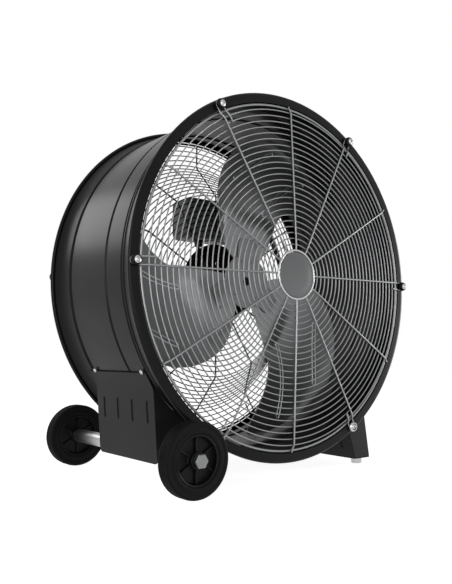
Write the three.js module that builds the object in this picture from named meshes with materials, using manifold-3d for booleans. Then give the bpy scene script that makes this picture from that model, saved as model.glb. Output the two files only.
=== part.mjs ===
// Drum fan on two transport wheels and two fixed feet.
// Millimetres, +Z up. The air flows along Y, and -Y is the front, where the air comes out.
// The pieces are modelled about the fan axis, with y = 0 in the plane of the front rim, and the
// finished group is then moved so that its origin lies on the floor under the middle of the part.

import * as THREE from 'three';
import { mergeVertices } from 'three/addons/utils/BufferGeometryUtils.js';
import Module from 'manifold-3d';

const wasm = await Module();
wasm.setup();

// ---------------------------------------------------------------- driving dimensions

const seatGap = 0.3;            // left between two pieces that touch
const holePlay = 0.55;          // radial play of a bolt in its hole
const runGap = 0.5;             // radial play of a shaft in its bearing

// drum
const drumBodyRadius = 313.5;   // outside of the straight middle of the drum
const drumDepth = 277;          // between the centres of the two rolled rims
const drumWall = 1.6;
const bellHeight = 12.5;        // from the drum's body out to the centre of a rolled rim
const rimRollRadius = 4;
const flareDepth = 40;          // from the centre of a rolled rim to where its bell starts
const beadAt = 101;             // groove round the drum, behind the front rim
const beadDepth = 1.4;
const beadWidth = 3;
const rimRadius = drumBodyRadius + bellHeight + rimRollRadius;

// wire guards
const wireRadius = 1.6;         // radial wires
const ringWireWidth = 3.4;      // concentric rings, drawn with three faces
const rimRingWireWidth = 5.4;   // thick outer ring of each guard
const weldDepth = 0.25;         // how far welded wires sink into each other
const clipInset = 9;            // circle of the guards' screws, inside the rims
const rimRingInset = 12.5;      // thick ring, inside the circle of the screws
const outerRingInset = 10;      // outer fine ring, inside the thick ring
const ringPitch = 10.6;
const ringCount = 24;
const ringFacets = 16;
const hairpinHalfWidth = 6.7;   // half the distance between the two legs of a hairpin
const hairpinShortLeg = 35;     // length of the short leg
const guardEdgeHeight = 7;      // back of the front guard's outer fine ring, ahead of the rim plane
const guardRise = 0.043;        // how much further forward a ring is per mm nearer the middle
const rearSlopeInset = 37.5;    // end of the rear guard's slope, inside its outer fine ring
const rearSlopeRun = 75;        // how far the slope reaches along a radius
const rearGuardSink = 68.5;     // flat middle ahead of the rear guard's edge
const clipRadius = rimRadius - clipInset;
const rimRingRadius = clipRadius - rimRingInset;
const outerRingRadius = rimRingRadius - outerRingInset;
const rearSlopeRadius = outerRingRadius - rearSlopeInset;
const rearFlatRadius = rearSlopeRadius - rearSlopeRun;

// badge in the middle of the front guard
const badgeRadius = 43;
const badgeThickness = 4;
const badgeDome = 1.6;
const badgeRingWire = 2.4;

// guard fastenings
const screwHeadRadius = 4.2;
const screwHeadHeight = 3.2;
const screwFlangeRadius = 5.6;
const screwShankRadius = 2;
const capRadius = 9.2;          // moulded caps under the screws of the front guard's upper clips
const capHeight = 7;
const cupWasherRadius = 9.4;    // plated cups under its two lower ones
const cupWasherHeight = 4.2;
const cupRecess = 3.4;          // how deep a screw's flange lies in its cup
const rearFlangeRadius = 8.8;   // wide flange of the rear guard's screws

// rotor
const tipClearance = 6.9;       // between the blades and the drum
const bladeRootRadius = 36;
const bladeThickness = 2;
const bladeCamber = 13;
const camberBlend = 60;         // distance from the root over which the camber grows
const frontEdgeLead = 13.5;     // a blade's front edge, ahead of the hub plate's face
const frontEdgeRadius = 165;    // where the front edge is furthest forward
const frontEdgeBow = 14.5;      // how far back it has come at twice that radius
const rearEdgeLag = 4.2;        // a blade's rear edge at the root, behind the hub plate's face
const rearEdgeRise = 0.075;     // how much further back it is per mm of radius
const bladeCount = 3;
const firstBladeAngle = 195;
const hubPlateRadius = 52;
const hubPlateThickness = 3;
const hubArmReach = 84;
const hubArmWidth = 46;
const hubArmCorner = 14;
const armAngle = 12;            // of a hub arm from the middle of its blade
const padHalfWidth = 44;        // flat part of a blade that lies on its hub arm
const padReach = 98;
const padBlend = 48;            // distance over which the flat part runs out
const collarRadius = 17;
const collarLength = 24;
const collarGap = 13.5;         // between the collar and the motor's bearing boss
const shaftRadius = 8;
const setScrewRadius = 3;
const setScrewLength = 4;
const bladeTipRadius = drumBodyRadius - drumWall - tipClearance;

// motor
const motorRadius = 66;
const motorLength = 49.5;       // from the housing's shoulder to the mount plate
const housingLength = 27;       // part of it that the front housing takes
const motorFlangeWidth = 5;
const motorFlangeThickness = 9;
const bearingBossRadius = 24;
const bearingBossLength = 7;
const mountPlateMargin = 13;    // mount plate outside the motor's flange
const mountPlateThickness = 3;
const mountPlateCover = 11;     // how far the rear guard's radial wires lie on the plate
const mountPlateRadius = motorRadius + motorFlangeWidth + mountPlateMargin;

// control box behind the rear guard
const boxWidth = 136;
const boxHeight = 82;
const boxDepth = 51;
const boxWall = 2.5;
const boxCorner = 12;
const boxCornerReach = 0.5;     // how far its upper corners pass the guard's flat middle
const lidThickness = 3;
const knobRadius = 19;
const knobHeight = 15;
const spindleRadius = 3;
const glandX = -22;
const glandRadius = 9;
const glandLength = 14;
const leadRadius = 2.5;
const leadInset = 11.5;         // where the lead meets the mount plate, inside the guard's wires
const leadDrop = 20;            // least height of the gland above that place

// axle and wheels, on the left side
const floorClearance = 29.3;    // between the rims and the floor
const axleTubeRadius = 12.5;
const axleRodRadius = 6;
const tyreRadius = 59;
const tyreSeatRadius = 40;
const tyreShoulder = 2.2;
const wheelWidth = 24;
const wheelClearance = 0.3;     // between the front wheel and the guard's screws
const rearWheelStandoff = 88;   // rear wheel behind the rear rim
const wheelRibCount = 6;
const wheelBossRadius = 13;
const nutAcross = 12;           // half the width of the axle nut over its corners
const nutHeight = 9;
const floorZ = -rimRadius - floorClearance;
const axleZ = floorZ + tyreRadius;

// sheet metal stand
const sheet = 2.5;
const bracketFront = 51.5;
const standRearInset = 34;      // rear end of the bracket and the leg, ahead of the rear rim
const bracketTopAngle = 212.7;  // where the bracket's upper flange meets the drum
const bracketFoldAngle = 219.1;
const bracketFoldClear = 6;     // fold of the bracket, outside the drum's body
const bracketLean = 6.4;        // lower edge of the bracket, inside its fold
const axleInset = 17.5;         // axle, inside that lower edge
const axleMargin = 19;          // inner edges of the bracket's end walls, inside the axle
const bracketBelowAxle = 15.6;
const wallTopAngle = 220;       // outer end of the bracket's end walls on the drum
const bracketSaddleAngle = 237; // inner end of the bracket's end walls on the drum
const bracketCorner = 9;
const tabWidth = 18;
const tabSpan = 8;              // degrees of the drum that a fixing tab covers
const tabAngle = 232.3;
const slotCount = 4;
const slotLength = 36.7;
const slotWidth = 3;
const slotDepth = 0.8;
const slotBelowFold = 14;
const legFront = 32;
const legInset = 103.7;         // inner sheet of the leg, inside the drum's body
const legWidth = 43.9;
const footHeight = 11.3;        // underside of the leg above the floor
const legWebTopAngle = -54.9;
const legOuterTopAngle = -42.3;
const legTabAngle = 9;
const legSlotRise = 20;         // lower end of the leg's grooves above its underside
const footOffset = 22.8;        // foot's centre from the leg's inner sheet
const footInset = 16;           // foot's centre from the end of the leg
const footRadius = 10.7;
const footStem = 4;
const footNutRadius = 7.5;
const footNutHeight = 4;

// ---------------------------------------------------------------- places that follow from them

const roundFacets = 24;
const deg = Math.PI / 180;
const spokeHalf = wireRadius * Math.SQRT1_2;
const clipWireY = -(rimRollRadius + seatGap + spokeHalf);
const washerBack = clipWireY - spokeHalf - seatGap;
const rearPlane = drumDepth;
const rearMiddleY = rearPlane - clipWireY - rearGuardSink;
const plateRear = rearMiddleY - spokeHalf - seatGap;
const plateFront = plateRear - mountPlateThickness;
const motorFront = plateFront - motorLength;
const motorSplit = motorFront + housingLength;
const hubFront = motorFront - bearingBossLength - collarGap - collarLength;
const boxFlatReach = rearFlatRadius + boxCornerReach - boxCorner;
const boxTop = boxCorner + Math.sqrt(boxFlatReach ** 2 - (boxWidth / 2 - boxCorner) ** 2);
const boxBottom = boxTop - boxHeight;
const cupScrewSeat = washerBack - (cupWasherHeight - cupRecess) - seatGap;
const frontWheelFace = cupScrewSeat - screwHeadHeight - wheelClearance - wheelWidth;
const rearWheelFace = rearPlane + rearWheelStandoff;
const standRear = rearPlane - standRearInset;
const bracketFoldX = (drumBodyRadius + bracketFoldClear) * Math.cos(bracketFoldAngle * deg);
const bracketFoldZ = (drumBodyRadius + bracketFoldClear) * Math.sin(bracketFoldAngle * deg);
const bracketFootX = bracketFoldX + bracketLean;
const axleX = bracketFootX + axleInset;
const bracketInnerX = axleX + axleMargin;
const bracketBottom = axleZ - bracketBelowAxle;
const legBottom = floorZ + footHeight;
const legInnerX = drumBodyRadius - legInset;
const legOuterX = legInnerX + legWidth;
const footX = legInnerX + footOffset;

// ---------------------------------------------------------------- geometry helpers

// Keeps only the corners of a geometry, joins the ones that coincide and turns its faces outwards.
function weld(geometry) {
  const bare = geometry.clone();
  bare.deleteAttribute('normal');
  bare.deleteAttribute('uv');
  const welded = mergeVertices(bare, 1e-4);
  const p = welded.attributes.position;
  const index = welded.index.array;
  const a = new THREE.Vector3();
  const b = new THREE.Vector3();
  const c = new THREE.Vector3();
  const kept = [];
  let volume = 0;
  for (let i = 0; i < index.length; i += 3) {
    if (index[i] === index[i + 1] || index[i + 1] === index[i + 2] || index[i] === index[i + 2]) continue;
    a.fromBufferAttribute(p, index[i]);
    b.fromBufferAttribute(p, index[i + 1]);
    c.fromBufferAttribute(p, index[i + 2]);
    volume += a.dot(b.cross(c));
    kept.push(index[i], index[i + 1], index[i + 2]);
  }
  if (volume < 0) kept.reverse();
  welded.setIndex(kept);
  return welded;
}

function toSolid(geometry) {
  const g = weld(geometry);
  return new wasm.Manifold(new wasm.Mesh({
    numProp: 3,
    vertProperties: new Float32Array(g.attributes.position.array),
    triVerts: new Uint32Array(g.index.array),
  }));
}

function fromSolid(solid) {
  const mesh = solid.getMesh();
  const g = new THREE.BufferGeometry();
  g.setAttribute('position', new THREE.BufferAttribute(new Float32Array(mesh.vertProperties), 3));
  g.setIndex(Array.from(mesh.triVerts));
  return g;
}

const join = (...parts) => fromSolid(parts.map(toSolid).reduce((sum, part) => sum.add(part)));
const cut = (base, ...tools) => fromSolid(tools.map(toSolid).reduce((rest, tool) => rest.subtract(tool),
  toSolid(base)));
const moved = (geometry, x, y, z) => geometry.clone().translate(x, y, z);

// Turned piece about the fan's direction: [radius, y] pairs that start and end on the axis or close.
function turned(profile, facets = roundFacets) {
  return new THREE.LatheGeometry(profile.map(([r, y]) => new THREE.Vector2(r, y)), facets);
}

// Disc or ring about Y between two planes.
function disc(radius, y0, y1, facets = roundFacets, bore = 0) {
  if (bore === 0) return turned([[0, y0], [radius, y0], [radius, y1], [0, y1]], facets);
  return turned([[bore, y0], [radius, y0], [radius, y1], [bore, y1], [bore, y0]], facets);
}

const swapToXZ = new THREE.Matrix4().makeBasis(
  new THREE.Vector3(1, 0, 0), new THREE.Vector3(0, 0, 1), new THREE.Vector3(0, -1, 0));
const swapToYZ = new THREE.Matrix4().makeBasis(
  new THREE.Vector3(0, 1, 0), new THREE.Vector3(0, 0, 1), new THREE.Vector3(1, 0, 0));

// Plate whose outline is drawn in X and Z, between two y planes.
function plateXZ(shape, y0, y1, curveSegments = 6) {
  const g = new THREE.ExtrudeGeometry(shape, { depth: y1 - y0, bevelEnabled: false, curveSegments });
  return g.applyMatrix4(swapToXZ).translate(0, y1, 0);
}

// Plate whose outline is drawn in Y and Z, between two x planes.
function plateYZ(shape, x0, x1, curveSegments = 6) {
  const g = new THREE.ExtrudeGeometry(shape, { depth: x1 - x0, bevelEnabled: false, curveSegments });
  return g.applyMatrix4(swapToYZ).translate(x0, 0, 0);
}

function outline(points) {
  return new THREE.Shape(points.map(([x, z]) => new THREE.Vector2(x, z)));
}

function circleOutline(x, z, radius) {
  const shape = new THREE.Shape();
  shape.absarc(x, z, radius, 0, 2 * Math.PI);
  return shape;
}

function roundedRectangle(x, z, width, height, corner) {
  const shape = new THREE.Shape();
  const [l, r, b, t] = [x - width / 2, x + width / 2, z - height / 2, z + height / 2];
  shape.moveTo(l + corner, b);
  shape.lineTo(r - corner, b);
  shape.absarc(r - corner, b + corner, corner, -Math.PI / 2, 0);
  shape.lineTo(r, t - corner);
  shape.absarc(r - corner, t - corner, corner, 0, Math.PI / 2);
  shape.lineTo(l + corner, t);
  shape.absarc(l + corner, t - corner, corner, Math.PI / 2, Math.PI);
  shape.lineTo(l, b + corner);
  shape.absarc(l + corner, b + corner, corner, Math.PI, 1.5 * Math.PI);
  return shape;
}

// Points of an arc about the fan axis, in degrees, as [x, z] pairs.
function arcPoints(radius, from, to, steps) {
  const points = [];
  for (let i = 0; i <= steps; i++) {
    const a = (from + (to - from) * i / steps) * deg;
    points.push([radius * Math.cos(a), radius * Math.sin(a)]);
  }
  return points;
}

// A bent wire that runs straight between its points.
class BentWire extends THREE.Curve {
  constructor(points) {
    super();
    this.points = points;
  }

  getPoint(t, target = new THREE.Vector3()) {
    const along = t * (this.points.length - 1);
    const i = Math.min(Math.floor(along), this.points.length - 2);
    return target.lerpVectors(this.points[i], this.points[i + 1], along - i);
  }

  getPointAt(u, target) {
    return this.getPoint(u, target);
  }

  getTangentAt(u, target) {
    return this.getTangent(u, target);
  }

  getSpacedPoints(steps) {
    return this.getPoints(steps);
  }
}

function wire(points, radius, sides = 4) {
  const section = new THREE.Shape();
  for (let i = 0; i < sides; i++) {
    const a = (i + 0.5) * 2 * Math.PI / sides;
    if (i === 0) section.moveTo(radius * Math.cos(a), radius * Math.sin(a));
    else section.lineTo(radius * Math.cos(a), radius * Math.sin(a));
  }
  const path = new BentWire(points);
  return new THREE.ExtrudeGeometry(section, { extrudePath: path, steps: points.length - 1 });
}

// Ring of wire about the fan axis, drawn with three faces and a ridge on its inner side.
// `ridge` is the height of that ridge, and `away` is the direction from it to the wire's back.
function wireRing(radius, ridge, away, width) {
  const facets = radius < rearFlatRadius * 0.67 ? ringFacets - 4 : ringFacets;
  const back = ridge + away * width * 0.85;
  const half = width / 2;
  return turned([[radius, ridge], [radius - half, back], [radius + half, back], [radius, ridge]], facets);
}

// Point at a radius and angle about the fan axis, shifted sideways by an offset.
function polar(radius, angle, y, sideways = 0) {
  const c = Math.cos(angle * deg);
  const s = Math.sin(angle * deg);
  return new THREE.Vector3(radius * c - sideways * s, y, radius * s + sideways * c);
}

// Copies of a geometry turned about the fan axis to the given angles.
const around = (geometry, angles) => angles.map((a) => geometry.clone().rotateY(-a * deg));

const clipAngles = [0, 60, 120, 180, 240, 300];
const spokeAngles = [30, 90, 150, 210, 270, 330];

// ---------------------------------------------------------------- drum

// Radius of the bell at a distance in from the centre of a rolled rim.
function bellRise(inward) {
  const t = Math.max(0, 1 - inward / flareDepth);
  return (rimRadius - rimRollRadius - drumBodyRadius) * t ** 2.4;
}

function makeDrum() {
  const half = [];
  const bellSteps = 4;
  for (let i = bellSteps; i >= 1; i--) {
    const inward = flareDepth * i / bellSteps;
    half.push([drumBodyRadius + bellRise(inward), inward]);
  }
  const roll = [];
  const rollSteps = 4;
  for (let i = 0; i <= rollSteps; i++) {
    const a = (120 - 240 * i / rollSteps) * deg;
    roll.push([rimRadius - rimRollRadius + rimRollRadius * Math.cos(a), rimRollRadius * Math.sin(a)]);
  }
  const inner = half.map(([r, y]) => [r - drumWall, y]).reverse().slice(1);
  const front = [...half.slice(0, -1), ...roll];
  const bead = [
    [drumBodyRadius, beadAt + beadWidth], [drumBodyRadius - beadDepth, beadAt + beadWidth / 2],
    [drumBodyRadius - beadDepth, beadAt - beadWidth / 2], [drumBodyRadius, beadAt - beadWidth]];
  const innerBead = bead.map(([r, y]) => [r - drumWall, y]).reverse();
  const mirror = (points) => points.map(([r, y]) => [r, drumDepth - y]).reverse();
  const profile = [...bead, ...front, ...inner, ...innerBead, ...mirror(inner), ...mirror(front)];
  profile.push(profile[0]);
  return turned(profile, 36);
}

// ---------------------------------------------------------------- guards

const frontRingY = (radius) => -guardEdgeHeight - guardRise * (outerRingRadius - radius);

function ringRadii(smallest) {
  return Array.from({ length: ringCount }, (_, i) => outerRingRadius - i * ringPitch)
    .filter((r) => r > smallest + ringWireWidth / 2 + seatGap);
}

// Height of the middle of the front guard's radial wires.
function frontSpokeY(radius) {
  const underRing = frontRingY(radius) + spokeHalf + seatGap;
  return radius > outerRingRadius ? clipWireY : Math.min(underRing, clipWireY);
}

// Height of the middle of the rear guard's radial wires: flat middle, slope, flat edge.
function rearSpokeY(radius) {
  const t = THREE.MathUtils.clamp((radius - rearFlatRadius) / (rearSlopeRadius - rearFlatRadius), 0, 1);
  return rearPlane - clipWireY - rearGuardSink * (1 - t);
}

function straightSpoke(angle, from, to, heightAt, breaks, sideAt = () => 0) {
  const radii = [from, ...breaks.filter((r) => r > from && r < to), to];
  return radii.map((r) => polar(r, angle, heightAt(r), sideAt(r)));
}

// Hairpin round a clip screw: a long leg to the middle and a short leg beside it.
function hairpin(angle, longEnd, heightAt, breaks) {
  const longSide = (r) => hairpinHalfWidth * (r - longEnd) / (clipRadius - longEnd);
  const long = straightSpoke(angle, longEnd, clipRadius, heightAt, breaks, longSide);
  const loop = [];
  for (const a of [50, 0, -50]) {
    loop.push(polar(clipRadius + hairpinHalfWidth * Math.cos(a * deg), angle, heightAt(clipRadius),
      hairpinHalfWidth * Math.sin(a * deg)));
  }
  const short = straightSpoke(angle, clipRadius - hairpinShortLeg, clipRadius, heightAt, breaks,
    () => -hairpinHalfWidth).reverse();
  return wire([...long, ...loop, ...short], wireRadius);
}

// Wires lie `seatGap` under the rings, except the hairpins at the weld angles, which are joined to
// every ring. All radial wires are joined to the thick ring at the edge.
function makeGuard(heightAt, ringY, away, middle, innerLimit, breaks) {
  const rings = ringRadii(innerLimit).map((r) => wireRing(r, ringY(r), away, ringWireWidth));
  const rimRing = wireRing(rimRingRadius, heightAt(rimRingRadius) - away * (spokeHalf - weldDepth), -away,
    rimRingWireWidth);
  const spokes = spokeAngles.map((a) => wire(
    straightSpoke(a, middle, rimRingRadius + spokeHalf, heightAt, breaks), wireRadius));
  const slope = Math.abs(heightAt(rearSlopeRadius) - heightAt(rearFlatRadius)) / rearSlopeRun;
  const facetDip = hairpinHalfWidth * Math.tan(Math.PI / ringFacets) * slope;
  const weldRise = away * (seatGap + weldDepth + facetDip);
  const welded = (r) => heightAt(r) + (r > outerRingRadius + 1 ? 0 : weldRise);
  const pins = clipAngles.map((a) => hairpin(a, middle, weldAngles.includes(a) ? welded : heightAt,
    [...breaks, outerRingRadius + 2]));
  return join(...rings, rimRing, ...spokes, ...pins);
}
const weldAngles = [0];
const spokeInnerRadius = badgeRadius - 6;
const rearSpokeInnerRadius = mountPlateRadius - mountPlateCover;
const badgeEdge = badgeRadius - 2.6;
const badgeOuter = badgeEdge + 2 * seatGap + 2 * badgeRingWire;

function makeFrontGuard() {
  return makeGuard(frontSpokeY, frontRingY, -1, spokeInnerRadius, badgeOuter, [outerRingRadius]);
}

function makeRearGuard() {
  const ringY = (r) => rearSpokeY(r) + spokeHalf + seatGap;
  return makeGuard(rearSpokeY, ringY, 1, rearSpokeInnerRadius, rearSpokeInnerRadius,
    [rearFlatRadius, rearSlopeRadius, outerRingRadius]);
}

const badgeBack = frontSpokeY(spokeInnerRadius) - spokeHalf - weldDepth - 2 * seatGap;
const badgeFront = badgeBack - badgeThickness;

function makeBadge() {
  return turned([[0, badgeBack], [badgeEdge, badgeBack], [badgeEdge, badgeFront + 0.8],
    [badgeEdge - 1, badgeFront], [badgeRadius * 0.5, badgeFront - badgeDome * 0.75],
    [0, badgeFront - badgeDome]], 24);
}

function makeBadgeRing() {
  return new THREE.TorusGeometry(badgeOuter - badgeRingWire, badgeRingWire, 6, 24).rotateX(Math.PI / 2)
    .translate(0, badgeBack - badgeRingWire, 0);
}

// ---------------------------------------------------------------- guard fastenings

// Places a piece that stands on the clip circle at angle 0 on one of the clips.
const atClip = (geometry, angle) => around(moved(geometry, clipRadius, 0, 0), [angle])[0];

function makeClipCap(angle) {
  const bore = screwShankRadius + holePlay;
  const front = washerBack - capHeight;
  return atClip(turned([[bore, washerBack], [capRadius, washerBack], [capRadius, washerBack - 2],
    [capRadius - 0.8, front + 1], [capRadius - 1.8, front], [bore, front], [bore, washerBack]], 12), angle);
}

function makeCupWasher(angle) {
  const bore = screwShankRadius + holePlay;
  const front = washerBack - cupWasherHeight;
  const room = screwFlangeRadius + seatGap;
  return atClip(turned([[bore, washerBack], [cupWasherRadius, washerBack],
    [cupWasherRadius, washerBack - 0.8], [room + 0.8, front], [room, front], [room, front + cupRecess],
    [bore, front + cupRecess], [bore, washerBack]], 12), angle);
}

// Flanged dome-head screw: its head starts at `under`, and its shank ends at `tip`.
function clipScrew(under, tip, direction, angle) {
  const y = (h) => under + direction * h;
  return atClip(turned([[0, tip], [screwShankRadius, tip], [screwShankRadius, y(0)],
    [screwFlangeRadius, y(0)], [screwHeadRadius, y(1)], [screwHeadRadius * 0.7, y(screwHeadHeight * 0.85)],
    [0, y(screwHeadHeight)]], 6), angle);
}

function makeFrontScrew(angle, under) {
  return clipScrew(under, -rimRollRadius - seatGap, -1, angle);
}

// The rear guard's screws bear on the hairpins directly, with wide flanges.
function makeRearScrew(angle) {
  const under = rearPlane - washerBack;
  const tip = rearPlane + rimRollRadius + seatGap;
  return atClip(turned([[0, tip], [screwShankRadius, tip], [screwShankRadius, under],
    [rearFlangeRadius, under], [rearFlangeRadius, under + 0.8], [screwHeadRadius, under + 1.6],
    [screwHeadRadius * 0.7, under + screwHeadHeight], [0, under + screwHeadHeight + 0.4]], 8), angle);
}

// ---------------------------------------------------------------- rotor

// Blade edges: share of the way from the root to the tip, and degrees from the blade's middle.
const bladeStations = [0, 0.126, 0.257, 0.387, 0.517, 0.647, 0.758, 0.851, 0.926, 0.974, 1];
const frontEdgeAngle = [46, 52, 51.5, 47.8, 42.3, 35.2, 27.5, 19.5, 11, 2, -9];
const rearEdgeAngle = [-30, -26, -23.5, -21.6, -21.7, -26.5, -32.5, -37.5, -40.5, -40, -33];
const frontEdgeHeight = (r) => hubFront - frontEdgeLead + frontEdgeBow * (r / frontEdgeRadius - 1) ** 2;
const rearEdgeHeight = (r) => hubFront + rearEdgeLag + rearEdgeRise * (r - bladeRootRadius);

function bladePoint(station, across) {
  const r = THREE.MathUtils.lerp(bladeRootRadius, bladeTipRadius, bladeStations[station]);
  const a = THREE.MathUtils.lerp(frontEdgeAngle[station], rearEdgeAngle[station], across);
  const growth = Math.min(1, (r - bladeRootRadius) / camberBlend);
  const belly = bladeCamber * 4 * across * (1 - across) * growth;
  const y = THREE.MathUtils.lerp(frontEdgeHeight(r), rearEdgeHeight(r), across) + belly;
  const along = r * Math.cos((a - armAngle) * deg);
  const aside = Math.abs(r * Math.sin((a - armAngle) * deg));
  const offPad = Math.hypot(Math.max(0, aside - padHalfWidth), Math.max(0, along - padReach));
  const rise = THREE.MathUtils.smoothstep(offPad, 0, padBlend);
  const seat = hubFront + hubPlateThickness + seatGap;
  return polar(r, firstBladeAngle + a, THREE.MathUtils.lerp(seat, y, rise));
}

function makeBlade() {
  const across = 8;
  const rows = bladeStations.length;
  const positions = [];
  for (const side of [0, 1]) {
    for (let i = 0; i < rows; i++) {
      for (let j = 0; j <= across; j++) {
        const p = bladePoint(i, j / across);
        positions.push(p.x, p.y + side * bladeThickness, p.z);
      }
    }
  }
  const at = (side, i, j) => (side * rows + i) * (across + 1) + j;
  const index = [];
  const quad = (a, b, c, d) => index.push(a, b, c, a, c, d);
  for (let i = 0; i < rows - 1; i++) {
    for (let j = 0; j < across; j++) {
      quad(at(0, i, j), at(0, i + 1, j), at(0, i + 1, j + 1), at(0, i, j + 1));
      quad(at(1, i, j), at(1, i, j + 1), at(1, i + 1, j + 1), at(1, i + 1, j));
    }
    quad(at(0, i, 0), at(1, i, 0), at(1, i + 1, 0), at(0, i + 1, 0));
    quad(at(0, i, across), at(0, i + 1, across), at(1, i + 1, across), at(1, i, across));
  }
  for (let j = 0; j < across; j++) {
    quad(at(0, 0, j), at(0, 0, j + 1), at(1, 0, j + 1), at(1, 0, j));
    quad(at(0, rows - 1, j), at(1, rows - 1, j), at(1, rows - 1, j + 1), at(0, rows - 1, j + 1));
  }
  const g = new THREE.BufferGeometry();
  g.setAttribute('position', new THREE.Float32BufferAttribute(positions, 3));
  g.setIndex(index);
  return g;
}

const bladeAngles = Array.from({ length: bladeCount }, (_, i) => i * 360 / bladeCount);

function makeHubPlate() {
  const arm = roundedRectangle(hubArmReach / 2, 0, hubArmReach, hubArmWidth, hubArmCorner);
  const arms = around(plateXZ(arm, hubFront, hubFront + hubPlateThickness, 3),
    bladeAngles.map((a) => a + firstBladeAngle + armAngle));
  const boreRadius = shaftRadius + seatGap;
  const collar = disc(collarRadius, hubFront, hubFront + collarLength);
  const whole = join(disc(hubPlateRadius, hubFront, hubFront + hubPlateThickness), collar, ...arms);
  const bore = disc(boreRadius, hubFront - 1, hubFront + collarLength + 1);
  return cut(whole, bore);
}

const shaftFront = hubFront + 2;
const shaftRear = motorFront + 12;

function makeShaft() {
  return turned([[0, shaftFront], [shaftRadius - 1, shaftFront], [shaftRadius, shaftFront + 1],
    [shaftRadius, shaftRear], [0, shaftRear]]);
}

function makeSetScrew() {
  const y = hubFront + (hubPlateThickness + collarLength) / 2;
  const inner = collarRadius + seatGap;
  const outer = inner + setScrewLength;
  return turned([[0, inner], [setScrewRadius, inner], [setScrewRadius, outer], [0, outer]], 8)
    .rotateZ(-Math.PI / 2).rotateY(-60 * deg).translate(0, y, 0);
}

// ---------------------------------------------------------------- motor

function makeMotorHousing() {
  const bore = shaftRadius + runGap;
  const bossFront = motorFront - bearingBossLength;
  return turned([[bore, bossFront], [bearingBossRadius - 2, bossFront], [bearingBossRadius, bossFront + 2],
    [bearingBossRadius, motorFront], [motorRadius * 0.62, motorFront + 1],
    [motorRadius * 0.88, motorFront + 4], [motorRadius - 1.5, motorFront + 8],
    [motorRadius, motorFront + 13], [motorRadius, motorSplit - seatGap], [0, motorSplit - seatGap],
    [0, shaftRear + 2], [bore, shaftRear + 2], [bore, bossFront]], 24);
}

function makeMotorCover() {
  const rear = plateFront - seatGap;
  const flangeFront = rear - motorFlangeThickness;
  const flange = motorRadius + motorFlangeWidth;
  return turned([[0, motorSplit], [motorRadius + 1.5, motorSplit], [motorRadius + 1.5, flangeFront],
    [flange, flangeFront + 2], [flange, rear], [0, rear]], 28);
}

function makeMountPlate() {
  return turned([[0, plateFront], [mountPlateRadius - 2, plateFront],
    [mountPlateRadius, plateFront + 1.5], [mountPlateRadius, plateRear], [0, plateRear]], 36);
}

// ---------------------------------------------------------------- control box

const boxFront = rearMiddleY + spokeHalf + seatGap + ringWireWidth * 0.85 + seatGap;
const boxRear = boxFront + boxDepth;
const boxCentreZ = boxBottom + boxHeight / 2;

function makeControlBox() {
  const outer = roundedRectangle(0, boxCentreZ, boxWidth, boxHeight, boxCorner);
  const inner = roundedRectangle(0, boxCentreZ, boxWidth - 2 * boxWall, boxHeight - 2 * boxWall,
    boxCorner - boxWall);
  const shell = plateXZ(outer, boxFront, boxRear, 3);
  const room = plateXZ(inner, boxFront + boxWall, boxRear + 1, 3);
  const glandHole = new THREE.CylinderGeometry(glandRadius - 2, glandRadius - 2, 12, 16)
    .rotateX(Math.PI / 2).translate(glandX, glandY, boxBottom);
  return cut(shell, room, glandHole);
}
const glandY = boxFront + boxDepth * 0.5;

function makeBoxLid() {
  const face = roundedRectangle(0, boxCentreZ, boxWidth, boxHeight, boxCorner);
  face.holes.push(circleOutline(knobX, boxCentreZ, spindleRadius + holePlay));
  return plateXZ(face, boxRear + seatGap, boxRear + seatGap + lidThickness, 4);
}
const knobX = 0;
const lidRear = boxRear + seatGap + lidThickness;

function makeKnob() {
  const back = lidRear + seatGap;
  const front = back + knobHeight;
  const skirt = turned([[0, back], [knobRadius, back], [knobRadius, back + 3], [knobRadius - 3, back + 5],
    [knobRadius - 4, front - 1.5], [knobRadius - 6, front], [0, front]]);
  const pointer = plateXZ(roundedRectangle(0, knobRadius * 0.35, 4, knobRadius * 1.1, 1.2),
    front - 1, front + 2.5, 2);
  return join(skirt, pointer).translate(knobX, 0, boxCentreZ);
}

function makeSpindle() {
  const back = lidRear + seatGap;
  return disc(spindleRadius, boxFront + boxWall + 14, back - seatGap, 12).translate(knobX, 0, boxCentreZ);
}

function makeSwitchBody() {
  const y0 = boxFront + boxWall + seatGap;
  const body = plateXZ(roundedRectangle(knobX, boxCentreZ, 34, 34, 4), y0, boxRear - 8, 2);
  const neck = disc(6, boxRear - 9, boxRear, 12).translate(knobX, 0, boxCentreZ);
  const bore = disc(spindleRadius + runGap, boxFront + boxWall + 12, boxRear + 4, 12)
    .translate(knobX, 0, boxCentreZ);
  return cut(join(body, neck), bore);
}

// Gland under the box: a threaded body that lines the box's hole, with a domed cap.
function makeGland(x) {
  const bore = leadRadius + holePlay;
  const top = boxBottom + boxWall;
  const neck = glandRadius - 2 - seatGap;
  const profile = [[bore, top], [neck, top], [neck, boxBottom - seatGap],
    [glandRadius, boxBottom - seatGap], [glandRadius, boxBottom - glandLength * 0.55],
    [glandRadius - 2.5, boxBottom - glandLength], [bore, boxBottom - glandLength], [bore, top]];
  return turned(profile, 16).rotateX(Math.PI / 2).translate(x, glandY, 0);
}

function makeMotorLead() {
  const insideWires = Math.sqrt((rearSpokeInnerRadius - leadInset) ** 2 - glandX ** 2);
  const endZ = Math.min(insideWires, boxBottom - glandLength - leadDrop);
  const top = boxBottom - glandLength;
  const points = [[glandY, boxBottom - 3], [glandY, top - 3], [glandY - 5, endZ + 6], [glandY - 14, endZ],
    [plateRear + 8, endZ], [plateRear + seatGap, endZ]].map(([y, z]) => new THREE.Vector3(glandX, y, z));
  const curve = new THREE.CatmullRomCurve3(points, false, 'centripetal');
  const steps = 14;
  return wire(curve.getPoints(steps), leadRadius, 6);
}

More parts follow.
